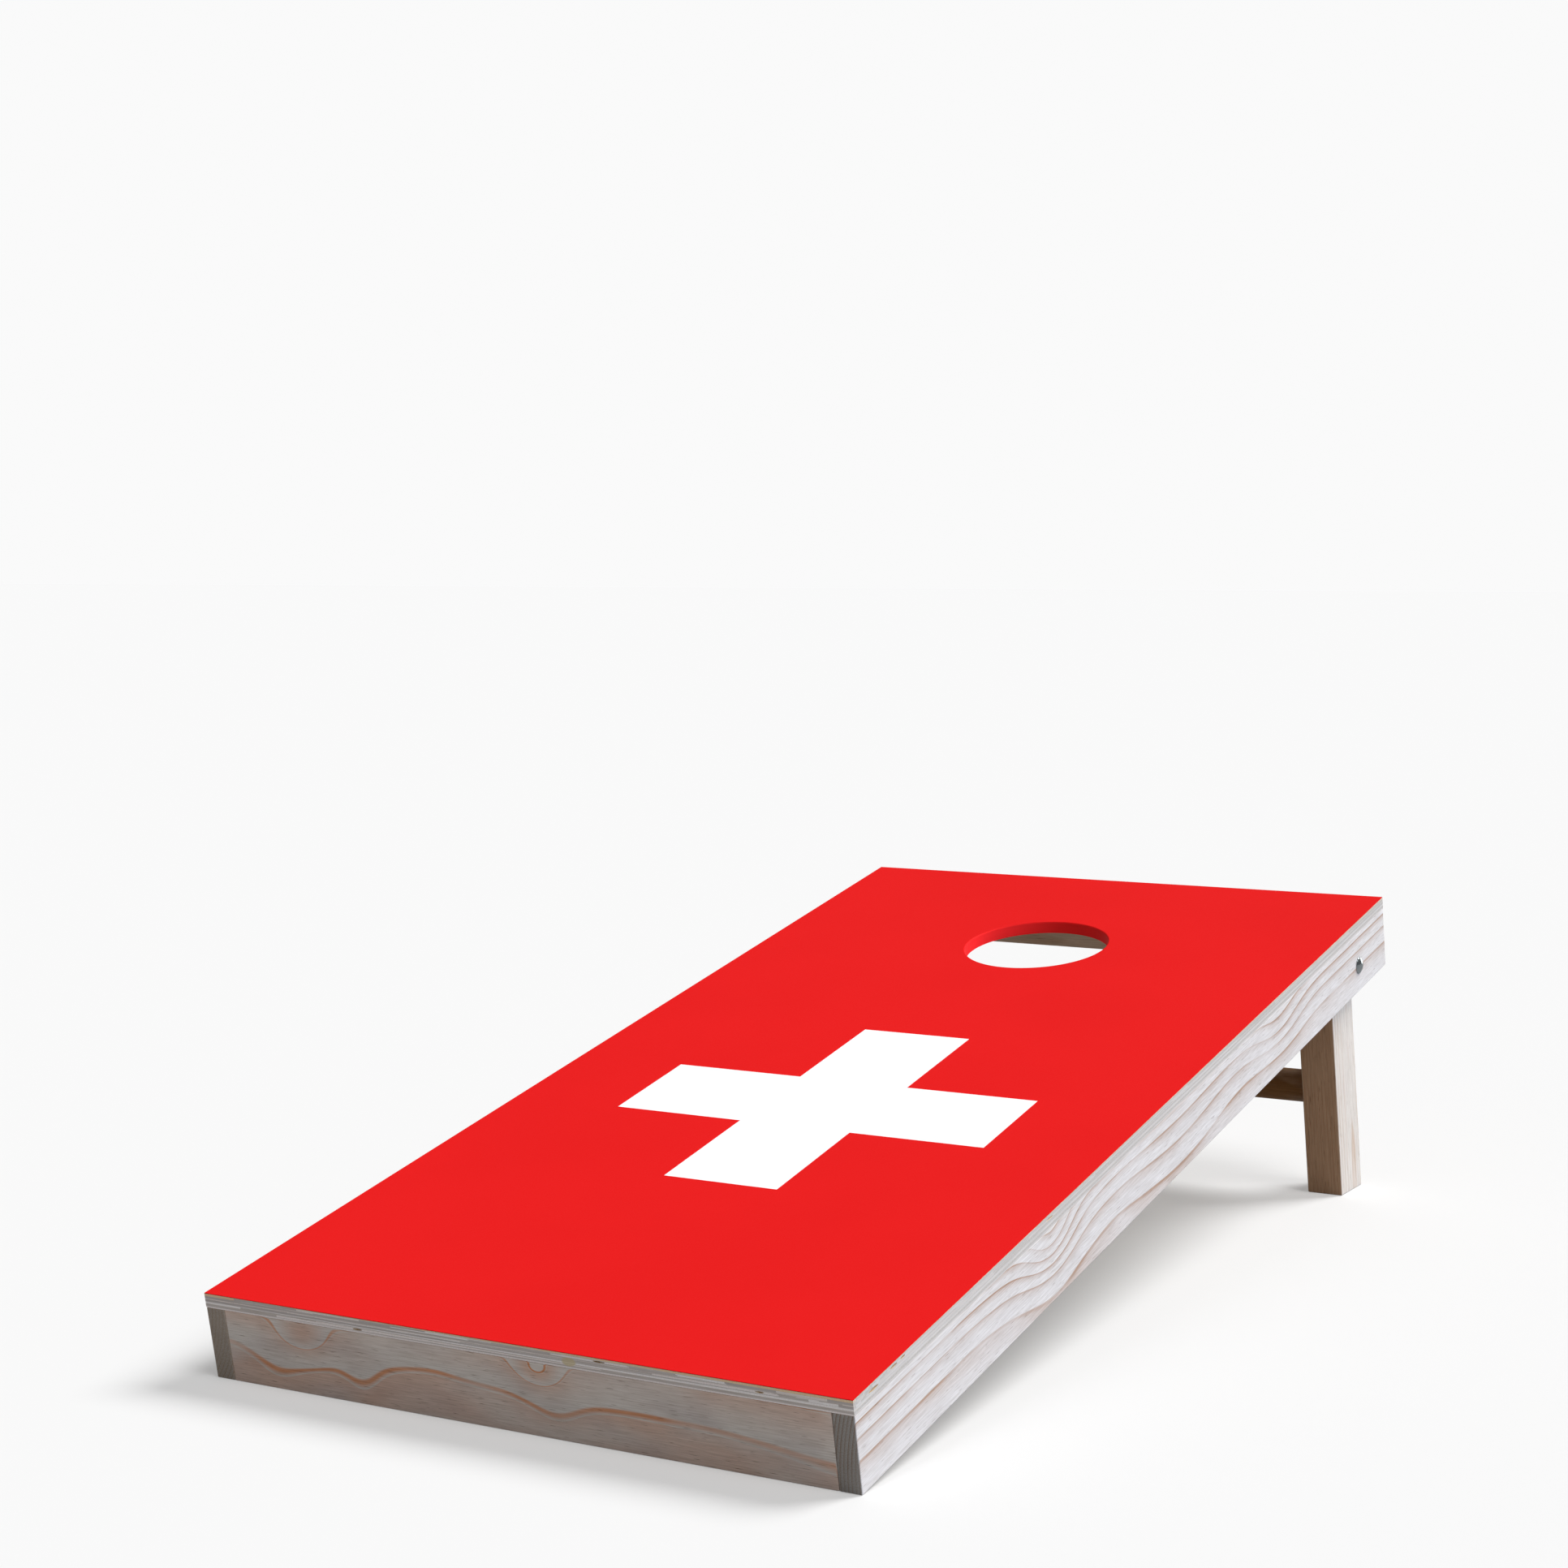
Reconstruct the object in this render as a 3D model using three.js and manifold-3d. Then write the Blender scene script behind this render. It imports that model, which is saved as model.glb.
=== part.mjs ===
// A folding-leg cornhole board: a plywood deck on a pine frame, propped up at the back by a pair of pine
// legs that turn on carriage bolts and fold flat under the deck.
// Millimetres. +X is to the right of the thrower, +Y runs away from the thrower to the raised end, +Z is up,
// and the origin is on the ground at the centre of the board's bounding box.
import * as THREE from "three";
import { mergeVertices } from "three/addons/utils/BufferGeometryUtils.js";
import Module from "manifold-3d";

const wasm = await Module();
wasm.setup();

// ---------------------------------------------------------------- driving dimensions

const INCH = 25.4;
const SEAM = 0.3; // the gap kept wherever two pieces meet
const OVERSHOOT = 1; // how far a cutting tool runs past the face it cuts

const BOARD_WIDTH = 24 * INCH;
const BOARD_LENGTH = 48 * INCH;
const BACK_HEIGHT = 12.5 * INCH; // ground to the top edge of the raised end

const PLY_THICK = 11.9; // nominal half-inch plywood
const FILM_THICK = 0.4; // laminated vinyl print
const RAIL_THICK = 0.75 * INCH; // planed one-by-three pine
const RAIL_HEIGHT = 2.5 * INCH;

const HOLE_RADIUS = 3 * INCH; // finished hole, inside the film that lines it
const HOLE_FROM_BACK = 9 * INCH;

const CROSS_SPAN = 15 * INCH;
const CROSS_ARM = 4.5 * INCH;
const CROSS_FROM_BACK = 27.65 * INCH;

const LEG_THICK = 1.5 * INCH; // planed two-by-three pine
const LEG_WIDTH = 2.5 * INCH;
const PIVOT_FROM_BACK = 87;
const PIVOT_UP = 28; // above the underside of the rails
const LEG_CORNER_RADIUS = 35.2; // the leg's swinging corner, rounded about the pivot

const DOWEL = { radius: 0.6875 * INCH, belowPivot: 142, mortise: 0.75 * INCH }; // the rod between the legs

const BOLT = { radius: 3.97, length: 3 * INCH, chamfer: 0.8 }; // five-sixteenths carriage bolt
const BOLT_HEAD = { radius: 9, height: 4.2, rim: 0.9, steps: 5 };
const BOLT_NECK = { width: 8.2, depth: 4.4, bite: 0.5 }; // bite: how far the neck reaches into the head
const BOLT_HOLE_RADIUS = 4.5;
const SPACER = { inner: 4.6, outer: 11.1, thick: 1.0 };
const WASHER = { inner: 4.6, outer: 11.1, thick: 1.65 };
const NUT = { acrossFlats: 12.7, hexHeight: 6.2, collarRadius: 6.0, collarHeight: 2.5, seatRadius: 5.3 };
const INSERT = { inner: 4.3, outer: 5.0, height: 1.9 };

const POCKET = { angle: THREE.MathUtils.degToRad(15), radius: 4.9, length: 62 };
const FRAME_SCREW = { length: 1.25 * INCH, seat: 13.5 };
const DECK_SCREW = { length: 1 * INCH, seat: 16.5 };
const POCKET_HEAD = { radius: 4.4, height: 2.6, crown: 3.1, skirt: 1.0 }; // crown: radius of its flat top
const SCREW_RADIUS = 2.1;
const SCREW_TIP = 5; // length of a screw's point
const FRAME_SCREW_HEIGHTS = [15, 45]; // two at each end of a cross rail
const SIDE_DECK_SCREWS = [150, 450, 760, 1030]; // along each side rail
const CROSS_DECK_SCREW_X = 150; // either side of the middle of a cross rail

const ROUND = 20; // facets around a bolt, washer or nut
const THIN = 8; // facets around a screw and its pilot hole
const POCKET_FACETS = 12;
const DOWEL_FACETS = 32;
const HOLE_FACETS = 60;

// ---------------------------------------------------------------- derived sizes

const DECK_UNDERSIDE = RAIL_HEIGHT + SEAM;
const DECK_TOP = DECK_UNDERSIDE + PLY_THICK;
const FILM_UNDERSIDE = DECK_TOP + SEAM;
const BOARD_THICK = FILM_UNDERSIDE + FILM_THICK;
const PLY_HOLE_RADIUS = HOLE_RADIUS + FILM_THICK + SEAM;
const TILT =
  Math.asin(BACK_HEIGHT / Math.hypot(BOARD_LENGTH, BOARD_THICK)) - Math.atan2(BOARD_THICK, BOARD_LENGTH);

const RAIL_INNER = BOARD_WIDTH / 2 - RAIL_THICK; // x of a side rail's inner face
const CROSS_RAIL_LENGTH = 2 * (RAIL_INNER - SEAM);
const PIVOT_Y = BOARD_LENGTH - PIVOT_FROM_BACK;
const LEG_OUTER = RAIL_INNER - SEAM - SPACER.thick - SEAM;
const LEG_INNER = LEG_OUTER - LEG_THICK;

// ---------------------------------------------------------------- finishes

const finish = (color, roughness, metalness = 0) =>
  new THREE.MeshStandardMaterial({ color, roughness, metalness });

const plywood = finish(0xd9d2c8, 0.7);
const pine = finish(0xe3dbd2, 0.65);
const redFilm = finish(0xee2424, 0.35);
const whiteFilm = finish(0xffffff, 0.35);
const zincSteel = finish(0xb8bcc0, 0.3, 1);
const nylon = finish(0xe8e6dd, 0.5);

// ---------------------------------------------------------------- solids

/** A closed mesh as a solid that can be cut and joined. */
function solid(geometry) {
  const bare = geometry.clone();
  bare.deleteAttribute("normal");
  bare.deleteAttribute("uv");
  const merged = mergeVertices(bare, 1e-4);
  return new wasm.Manifold(
    new wasm.Mesh({
      numProp: 3,
      vertProperties: new Float32Array(merged.attributes.position.array),
      triVerts: new Uint32Array(merged.index.array),
    }),
  );
}

/** A solid as flat-shaded geometry. */
function geometryOf(shape) {
  const mesh = shape.getMesh();
  const geometry = new THREE.BufferGeometry();
  geometry.setAttribute("position", new THREE.BufferAttribute(new Float32Array(mesh.vertProperties), 3));
  geometry.setIndex(new THREE.BufferAttribute(new Uint32Array(mesh.triVerts), 1));
  const facets = geometry.toNonIndexed();
  facets.computeVertexNormals();
  return facets;
}

/** A box from its lowest to its highest corner. */
function block(low, high) {
  const size = high.map((value, i) => value - low[i]);
  const box = new THREE.BoxGeometry(...size);
  return box.translate(...low.map((value, i) => value + size[i] / 2));
}

/** A geometry built along +Y, turned to run along a direction from a point. */
function aim(geometry, from, direction) {
  const turn = new THREE.Quaternion().setFromUnitVectors(new THREE.Vector3(0, 1, 0), direction);
  return geometry.clone().applyQuaternion(turn).translate(from.x, from.y, from.z);
}

/** A cylinder around the line from a point, between two distances along it. */
function bore(from, direction, radius, start, end, facets) {
  const cylinder = new THREE.CylinderGeometry(radius, radius, end - start, facets);
  return solid(aim(cylinder.translate(0, (start + end) / 2, 0), from, direction));
}

/** A lathe turned from [radius, height] pairs, listed from the lowest up. */
const turned = (profile, facets) =>
  new THREE.LatheGeometry(profile.map(([r, y]) => new THREE.Vector2(r, y)), facets);

/** A flat ring: outer and inner radius, from height 0 up. */
const ring = (inner, outer, thick) =>
  turned([[inner, 0], [outer, 0], [outer, thick], [inner, thick], [inner, 0]], ROUND);

/** A rectangle from y = 0 up, its middle on x = 0. */
function rectangle(width, length) {
  const shape = new THREE.Shape();
  shape.moveTo(-width / 2, 0);
  shape.lineTo(width / 2, 0);
  shape.lineTo(width / 2, length);
  shape.lineTo(-width / 2, length);
  shape.closePath();
  return shape;
}

/** A flat circle path around a point. */
function circle(x, y, radius) {
  return new THREE.Path().absarc(x, y, radius, 0, 2 * Math.PI, true);
}

/** A plus sign around (0, y), the arms widened by grow on every side. */
function crossOutline(y, grow, outline) {
  const arm = CROSS_ARM / 2 + grow;
  const tip = CROSS_SPAN / 2 + grow;
  const quarter = [[arm, -tip], [arm, -arm], [tip, -arm]];
  const middle = new THREE.Vector2();
  const corners = [0, 1, 2, 3].flatMap((turns) =>
    quarter.map(([px, py]) => new THREE.Vector2(px, py).rotateAround(middle, (turns * Math.PI) / 2)),
  );
  outline.setFromPoints(corners.map((p) => p.setY(p.y + y)));
  outline.closePath();
  return outline;
}

const extrude = (shape, depth, curveSegments = HOLE_FACETS / 2) =>
  new THREE.ExtrudeGeometry(shape, { depth, bevelEnabled: false, curveSegments });

// ---------------------------------------------------------------- screws and their holes

/** Screw with a flat washer head, for a pocket hole: head towards -Y, its underside at 0. */
function pocketScrew(length) {
  return turned(
    [
      [0, -POCKET_HEAD.height],
      [POCKET_HEAD.crown, -POCKET_HEAD.height],
      [POCKET_HEAD.radius, -POCKET_HEAD.skirt],
      [POCKET_HEAD.radius, 0],
      [SCREW_RADIUS, 0],
      [SCREW_RADIUS, length - SCREW_TIP],
      [0, length],
    ],
    THIN,
  );
}

/**
 * One pocket screw: where its axis crosses the joint, the way it travels and the face its pocket opens on.
 * It gives the screw's geometry, the cut in the piece that holds the pocket, and the cut in the other piece.
 */
function pocketJoint(exit, travel, pocketFace, { length, seat }) {
  const along = travel
    .clone()
    .multiplyScalar(Math.cos(POCKET.angle))
    .addScaledVector(pocketFace, -Math.sin(POCKET.angle))
    .normalize();
  const reach = length - seat - SEAM;
  const headAt = exit.clone().addScaledVector(along, -seat - SEAM);
  const pilot = bore(exit, along, SCREW_RADIUS + SEAM, -seat - OVERSHOOT, reach + 2 * SEAM, THIN);
  const pocket = bore(exit, along, POCKET.radius, -POCKET.length, -seat, POCKET_FACETS);
  return {
    screw: aim(pocketScrew(length), headAt, along),
    near: pocket.add(pilot),
    far: pilot,
  };
}

// ---------------------------------------------------------------- the board, flat on its rails

// Inside this group X is across, Y runs up the deck from its front edge and Z rises from the underside of
// the rails.
const board = new THREE.Group();
board.rotation.x = TILT;
board.position.y = -(BOARD_LENGTH * Math.cos(TILT) - BOARD_THICK * Math.sin(TILT)) / 2;

function add(name, geometry, material, parent = board) {
  const mesh = new THREE.Mesh(geometry, material);
  mesh.name = name;
  parent.add(mesh);
  return mesh;
}

const X = new THREE.Vector3(1, 0, 0);
const Y = new THREE.Vector3(0, 1, 0);
const Z = new THREE.Vector3(0, 0, 1);
const at = (x, y, z) => new THREE.Vector3(x, y, z);
const SIDES = [["left", -1], ["right", 1]];

/** Every cut that a screw or bolt makes, by the name of the piece that it is made in. */
const cuts = new Map();
const cut = (name, shape) => cuts.set(name, cuts.has(name) ? cuts.get(name).add(shape) : shape);

function addPocketScrew(name, holder, target, exit, travel, pocketFace, kind) {
  const joint = pocketJoint(exit, travel, pocketFace, kind);
  cut(holder, joint.near);
  cut(target, joint.far);
  add(name, joint.screw, zincSteel);
}

/** The three rails that run across: the y of their middle and the way their pocket face looks. */
const CROSS_RAILS = [
  { name: "front_rail", y: RAIL_THICK / 2, faces: Y },
  { name: "centre_brace", y: BOARD_LENGTH / 2, faces: Y },
  { name: "back_rail", y: BOARD_LENGTH - RAIL_THICK / 2, faces: Y.clone().negate() },
];

function fastenFrame() {
  for (const rail of CROSS_RAILS) {
    for (const [side, sign] of SIDES) {
      FRAME_SCREW_HEIGHTS.forEach((height, i) => {
        const name = `frame_screw_${rail.name.split("_")[0]}_${side}_${i + 1}`;
        const exit = at(sign * RAIL_INNER, rail.y, height);
        const travel = X.clone().multiplyScalar(sign);
        addPocketScrew(name, rail.name, `side_rail_${side}`, exit, travel, rail.faces, FRAME_SCREW);
      });
      const name = `deck_screw_${rail.name.split("_")[0]}_${side}`;
      const exit = at(sign * CROSS_DECK_SCREW_X, rail.y, RAIL_HEIGHT);
      addPocketScrew(name, rail.name, "deck_panel", exit, Z, rail.faces, DECK_SCREW);
    }
  }
}

function fastenDeckToSides() {
  for (const [side, sign] of SIDES) {
    SIDE_DECK_SCREWS.forEach((y, i) => {
      const exit = at(sign * (RAIL_INNER + RAIL_THICK / 2), y, RAIL_HEIGHT);
      const inward = X.clone().multiplyScalar(-sign);
      const name = `deck_screw_side_${side}_${i + 1}`;
      addPocketScrew(name, `side_rail_${side}`, "deck_panel", exit, Z, inward, DECK_SCREW);
    });
  }
}

// ---------------------------------------------------------------- pivots

/** The bolt head's dome, as [radius, height] pairs from its crown to its rim. */
function domeProfile() {
  const { radius, height, rim, steps } = BOLT_HEAD;
  const rise = height - rim;
  const sphere = (radius ** 2 + rise ** 2) / (2 * rise);
  const halfAngle = Math.asin(radius / sphere);
  return Array.from({ length: steps + 1 }, (_, i) => {
    const angle = (halfAngle * i) / steps;
    return [sphere * Math.sin(angle), -height + sphere * (1 - Math.cos(angle))];
  });
}

/** Carriage bolt: a low dome, a square neck that bites into the rail, and a plain shank. */
function carriageBolt() {
  const { radius, length, chamfer } = BOLT;
  const profile = [
    ...domeProfile(),
    [BOLT_HEAD.radius, 0],
    [radius, 0],
    [radius, length - chamfer],
    [radius - chamfer, length],
    [0, length],
  ];
  const half = BOLT_NECK.width / 2;
  const square = block([-half, -BOLT_NECK.bite, -half], [half, BOLT_NECK.depth, half]);
  return geometryOf(solid(turned(profile, ROUND)).add(solid(square)));
}

/** Lock nut: a hexagon with a round collar that holds a nylon ring. */
function lockNut() {
  const { acrossFlats, hexHeight, collarRadius, collarHeight, seatRadius } = NUT;
  const corner = acrossFlats / Math.sqrt(3);
  const hex = new THREE.CylinderGeometry(corner, corner, hexHeight, 6);
  const top = hexHeight + collarHeight;
  const origin = at(0, 0, 0);
  const collar = bore(origin, Y, collarRadius, hexHeight - OVERSHOOT, top, ROUND);
  const thread = bore(origin, Y, INSERT.inner, -OVERSHOOT, top + OVERSHOOT, ROUND);
  const seat = bore(origin, Y, seatRadius, hexHeight, top + OVERSHOOT, ROUND);
  const body = solid(hex.translate(0, hexHeight / 2, 0)).add(collar);
  return geometryOf(body.subtract(thread).subtract(seat));
}

function addPivot(side, sign) {
  const inward = X.clone().multiplyScalar(-sign);
  const outside = at((sign * BOARD_WIDTH) / 2, PIVOT_Y, PIVOT_UP);
  const stack = (name, geometry, inside, material) =>
    add(`${name}_${side}`, aim(geometry, outside.clone().addScaledVector(inward, inside), inward), material);

  const washerAt = BOARD_WIDTH / 2 - LEG_INNER + SEAM;
  const nutAt = washerAt + WASHER.thick + SEAM;
  stack("pivot_bolt", carriageBolt(), -SEAM, zincSteel);
  stack("leg_spacer", ring(SPACER.inner, SPACER.outer, SPACER.thick), RAIL_THICK + SEAM, nylon);
  stack("pivot_washer", ring(WASHER.inner, WASHER.outer, WASHER.thick), washerAt, zincSteel);
  stack("lock_nut", lockNut(), nutAt, zincSteel);
  stack("nut_insert", ring(INSERT.inner, INSERT.outer, INSERT.height), nutAt + NUT.hexHeight + SEAM, nylon);

  const half = BOLT_NECK.width / 2 + SEAM;
  const neckHole = block([-half, -OVERSHOOT, -half], [half, BOLT_NECK.depth + SEAM, half]);
  const through = bore(outside, inward, BOLT_HOLE_RADIUS, -OVERSHOOT, RAIL_THICK + OVERSHOOT, ROUND);
  cut(`side_rail_${side}`, through);
  cut(`side_rail_${side}`, solid(aim(neckHole, outside, inward)));
}

// ---------------------------------------------------------------- legs

const legs = new THREE.Group(); // its origin is on the pivot line, midway between the two bolts
legs.position.set(0, PIVOT_Y, PIVOT_UP);
board.add(legs);

/** The height of the ground under a point y of the deck, measured from the pivot. */
const groundBelowPivot = (y) => -(PIVOT_Y + y) * Math.tan(TILT) - PIVOT_UP;

/**
 * Side view of a leg about the pivot: cut along the ground at the foot, square at the top corner that
 * stops against the deck and rounded at the corner that swings past it.
 */
function legOutline() {
  const half = LEG_WIDTH / 2;
  const radius = LEG_CORNER_RADIUS;
  const tangentAngle = Math.PI - Math.acos(half / radius);
  const outline = new THREE.Shape();
  outline.moveTo(-half, groundBelowPivot(-half));
  outline.lineTo(half, groundBelowPivot(half));
  outline.lineTo(half, radius);
  outline.lineTo(0, radius);
  outline.absarc(0, 0, radius, Math.PI / 2, tangentAngle, false);
  outline.closePath();
  outline.holes.push(circle(0, 0, BOLT_HOLE_RADIUS));
  return outline;
}

/** One leg, extruded across the board between two distances from its middle. */
function legSolid(sign) {
  const plank = extrude(legOutline(), LEG_THICK, 10);
  // The outline is drawn in Y and Z, and the extrusion then runs along X.
  plank.applyMatrix4(new THREE.Matrix4().makeBasis(Y, Z, X));
  plank.translate(sign > 0 ? LEG_INNER : -LEG_OUTER, 0, 0);
  return solid(plank);
}

/** Two legs joined by a round dowel that is glued into a blind mortise in each of them. */
function addLegs() {
  const axis = at(0, 0, -DOWEL.belowPivot);
  const mortiseEnd = LEG_INNER + DOWEL.mortise;
  const mortises = bore(axis, X, DOWEL.radius + SEAM, -mortiseEnd, mortiseEnd, DOWEL_FACETS);
  for (const [side, sign] of SIDES) {
    add(`leg_${side}`, geometryOf(legSolid(sign).subtract(mortises)), pine, legs);
  }
  const length = 2 * (mortiseEnd - SEAM);
  const dowel = new THREE.CylinderGeometry(DOWEL.radius, DOWEL.radius, length, DOWEL_FACETS);
  add("leg_dowel", aim(dowel, axis, X), pine, legs);
}

// ---------------------------------------------------------------- wooden pieces and the print

function addWood() {
  const wood = (name, shape, material) => add(name, geometryOf(shape.subtract(cuts.get(name))), material);
  for (const [side, sign] of SIDES) {
    const faces = [sign * RAIL_INNER, (sign * BOARD_WIDTH) / 2].sort((a, b) => a - b);
    wood(`side_rail_${side}`, solid(block([faces[0], 0, 0], [faces[1], BOARD_LENGTH, RAIL_HEIGHT])), pine);
  }
  for (const { name, y } of CROSS_RAILS) {
    const half = CROSS_RAIL_LENGTH / 2;
    const low = [-half, y - RAIL_THICK / 2, 0];
    wood(name, solid(block(low, [half, y + RAIL_THICK / 2, RAIL_HEIGHT])), pine);
  }
  const deck = rectangle(BOARD_WIDTH, BOARD_LENGTH);
  deck.holes.push(circle(0, BOARD_LENGTH - HOLE_FROM_BACK, PLY_HOLE_RADIUS));
  wood("deck_panel", solid(extrude(deck, PLY_THICK).translate(0, 0, DECK_UNDERSIDE)), plywood);
}

/** The red film covers the deck, turns down into the hole, and leaves room for the white cross. */
function addFilm() {
  const holeY = BOARD_LENGTH - HOLE_FROM_BACK;
  const crossY = BOARD_LENGTH - CROSS_FROM_BACK;

  const sheet = rectangle(BOARD_WIDTH, BOARD_LENGTH);
  sheet.holes.push(circle(0, holeY, HOLE_RADIUS));
  sheet.holes.push(crossOutline(crossY, SEAM, new THREE.Path()));
  const flat = solid(extrude(sheet, FILM_THICK).translate(0, 0, FILM_UNDERSIDE));

  const collar = new THREE.Shape().absarc(0, holeY, HOLE_RADIUS + FILM_THICK, 0, 2 * Math.PI, false);
  collar.holes.push(circle(0, holeY, HOLE_RADIUS));
  const down = solid(extrude(collar, BOARD_THICK - DECK_UNDERSIDE).translate(0, 0, DECK_UNDERSIDE));
  add("deck_film", geometryOf(flat.add(down)), redFilm);

  const cross = crossOutline(crossY, 0, new THREE.Shape());
  add("deck_film_cross", extrude(cross, FILM_THICK).translate(0, 0, FILM_UNDERSIDE), whiteFilm);
}

fastenFrame();
fastenDeckToSides();
SIDES.forEach(([side, sign]) => addPivot(side, sign));
addLegs();
addWood();
addFilm();

const cornholeBoard = new THREE.Group();
cornholeBoard.add(board);
export default cornholeBoard;
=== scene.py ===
"""Cornhole board: a plywood deck under printed film, on a pine frame with folding legs.

Every piece is built in board millimetres and then carried into the row frame. In board millimetres X is
across, Y runs up the deck from its front edge and Z rises from the underside of the rails.
"""

import logging
import math
from collections.abc import Iterable, Sequence
from dataclasses import dataclass, field
from enum import Enum

import bmesh
import bpy
from mathutils import Matrix, Vector


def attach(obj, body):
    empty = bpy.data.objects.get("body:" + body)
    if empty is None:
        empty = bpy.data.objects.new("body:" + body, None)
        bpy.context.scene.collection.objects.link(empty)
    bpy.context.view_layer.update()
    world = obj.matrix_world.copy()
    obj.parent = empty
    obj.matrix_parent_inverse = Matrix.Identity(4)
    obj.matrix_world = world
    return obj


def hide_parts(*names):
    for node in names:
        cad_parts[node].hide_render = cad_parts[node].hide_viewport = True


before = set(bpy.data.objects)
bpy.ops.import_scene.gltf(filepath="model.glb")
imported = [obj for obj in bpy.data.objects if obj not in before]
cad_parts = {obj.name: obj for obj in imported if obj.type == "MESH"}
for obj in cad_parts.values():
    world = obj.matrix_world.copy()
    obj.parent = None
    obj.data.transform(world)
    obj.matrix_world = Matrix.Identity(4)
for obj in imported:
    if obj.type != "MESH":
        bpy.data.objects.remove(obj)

LOG = logging.getLogger("cornhole_board")

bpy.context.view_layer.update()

Point = tuple[float, float, float]
Flat = tuple[float, float]
Tree = bpy.types.NodeTree
Socket = bpy.types.NodeSocket
Material = bpy.types.Material
Solid = bpy.types.Object

MM = 0.001
INCH = 25.4
GRAIN = "grain"  # attribute: millimetres along, across and through the fibres of a piece of wood
END_GRAIN = "end_grain"  # attribute: 1 where a face cuts across the fibres
PAINTED_FRONT_SHADE = "heart_side"  # attribute: 1 on the faces towards the thrower, which take a tint of painted shade
PLY = "ply"  # attribute: which veneer of the deck, counted from the underside
EDGE = "edge"  # attribute: 1 on the sawn edges of the deck
PAINTED_LINING_LIGHT = "stretch"  # attribute: how upright the film is in and round the hole, where its red is brightened as painted light
AIM = "aim"  # attribute: the way a piece of hardware points from its seat

BOARD_WIDTH = 24 * INCH
BOARD_LENGTH = 48 * INCH
BACK_HEIGHT = 12.5 * INCH
RAIL_THICK = 0.75 * INCH
RAIL_HEIGHT = 2.5 * INCH
BOARD_THICK = 76.4
HOLE_RADIUS = 3 * INCH
HOLE_AT = BOARD_LENGTH - 9 * INCH
RAIL_INNER = BOARD_WIDTH / 2 - RAIL_THICK
PIVOT_AT = BOARD_LENGTH - 87
PIVOT_UP = 28
HAIRLINE = 0.05  # the gap left where two pieces are clamped tight
HOLE_FACETS = 160
ROD_FACETS = 64

TILT = math.asin(BACK_HEIGHT / math.hypot(BOARD_LENGTH, BOARD_THICK)) - math.atan2(
    BOARD_THICK, BOARD_LENGTH
)
FRONT_EDGE = -(BOARD_LENGTH * math.cos(TILT) - BOARD_THICK * math.sin(TILT)) / 2 * MM
BOARD = Matrix.Translation((0, FRONT_EDGE, 0)) @ Matrix.Rotation(TILT, 4, "X") @ Matrix.Scale(MM, 4)
PIVOT = Vector((0, PIVOT_AT, PIVOT_UP))
ACROSS = Vector((1, 0, 0))
UP = Vector((0, 0, 1))


class Body(str, Enum):
    """The two bodies that the leg hinge joins."""

    BOARD = "board"
    LEGS = "legs"


class Side(Enum):
    """A side of the board, as seen by the thrower."""

    LEFT = -1
    RIGHT = 1

    @property
    def word(self) -> str:
        """The side's name in lower case."""
        return self.name.lower()

    @property
    def bolt_head(self) -> Vector:
        """Where the pivot bolt enters the outside of the rail."""
        return PIVOT + ACROSS * self.value * BOARD_WIDTH / 2


class Outline(Enum):
    """The shape of a ring of points round a turned or forged piece, by its number of flats."""

    ROUND = 0
    SQUARE = 4
    HEXAGON = 6


class ScrewSize(Enum):
    """A pocket screw's length under the head, and the wood left between its pocket and the joint."""

    FRAME = (31.75, 13.5)
    DECK = (25.4, 16.5)


@dataclass(frozen=True)
class CrossRail:
    """A rail that runs across the board.

    Attributes:
        word: Where it is.
        node: The frame's node.
        y: The middle of its thickness.
        opens: The way its pocket face looks, along Y.
        shift: How far its grain is shifted from the other rails'.
    """

    word: str
    node: str
    y: float
    opens: int
    shift: Point


CROSS_RAILS = (
    CrossRail("front", "front_rail", RAIL_THICK / 2, 1, (0, 0, 0)),
    CrossRail("centre", "centre_brace", BOARD_LENGTH / 2, 1, (1700, 3, 9)),
    CrossRail("back", "back_rail", BOARD_LENGTH - RAIL_THICK / 2, -1, (3100, -8, 2)),
)


# ------------------------------------------------------------------------------------------- node trees

COLOUR = {"out": 2, "data_type": "RGBA"}  # settings of a mix of two colours
TINT = {**COLOUR, "blend_type": "MULTIPLY"}


def srgb(code: str) -> tuple[float, float, float, float]:
    """Turns an sRGB hex colour to linear.

    Args:
        code: Six hex digits after a hash.

    Returns:
        Linear red, green, blue and an alpha of one.
    """
    channels = [int(code[i : i + 2], 16) / 255 for i in (1, 3, 5)]
    linear = [c / 12.92 if c <= 0.04045 else ((c + 0.055) / 1.055) ** 2.4 for c in channels]
    return (*linear, 1.0)


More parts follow.
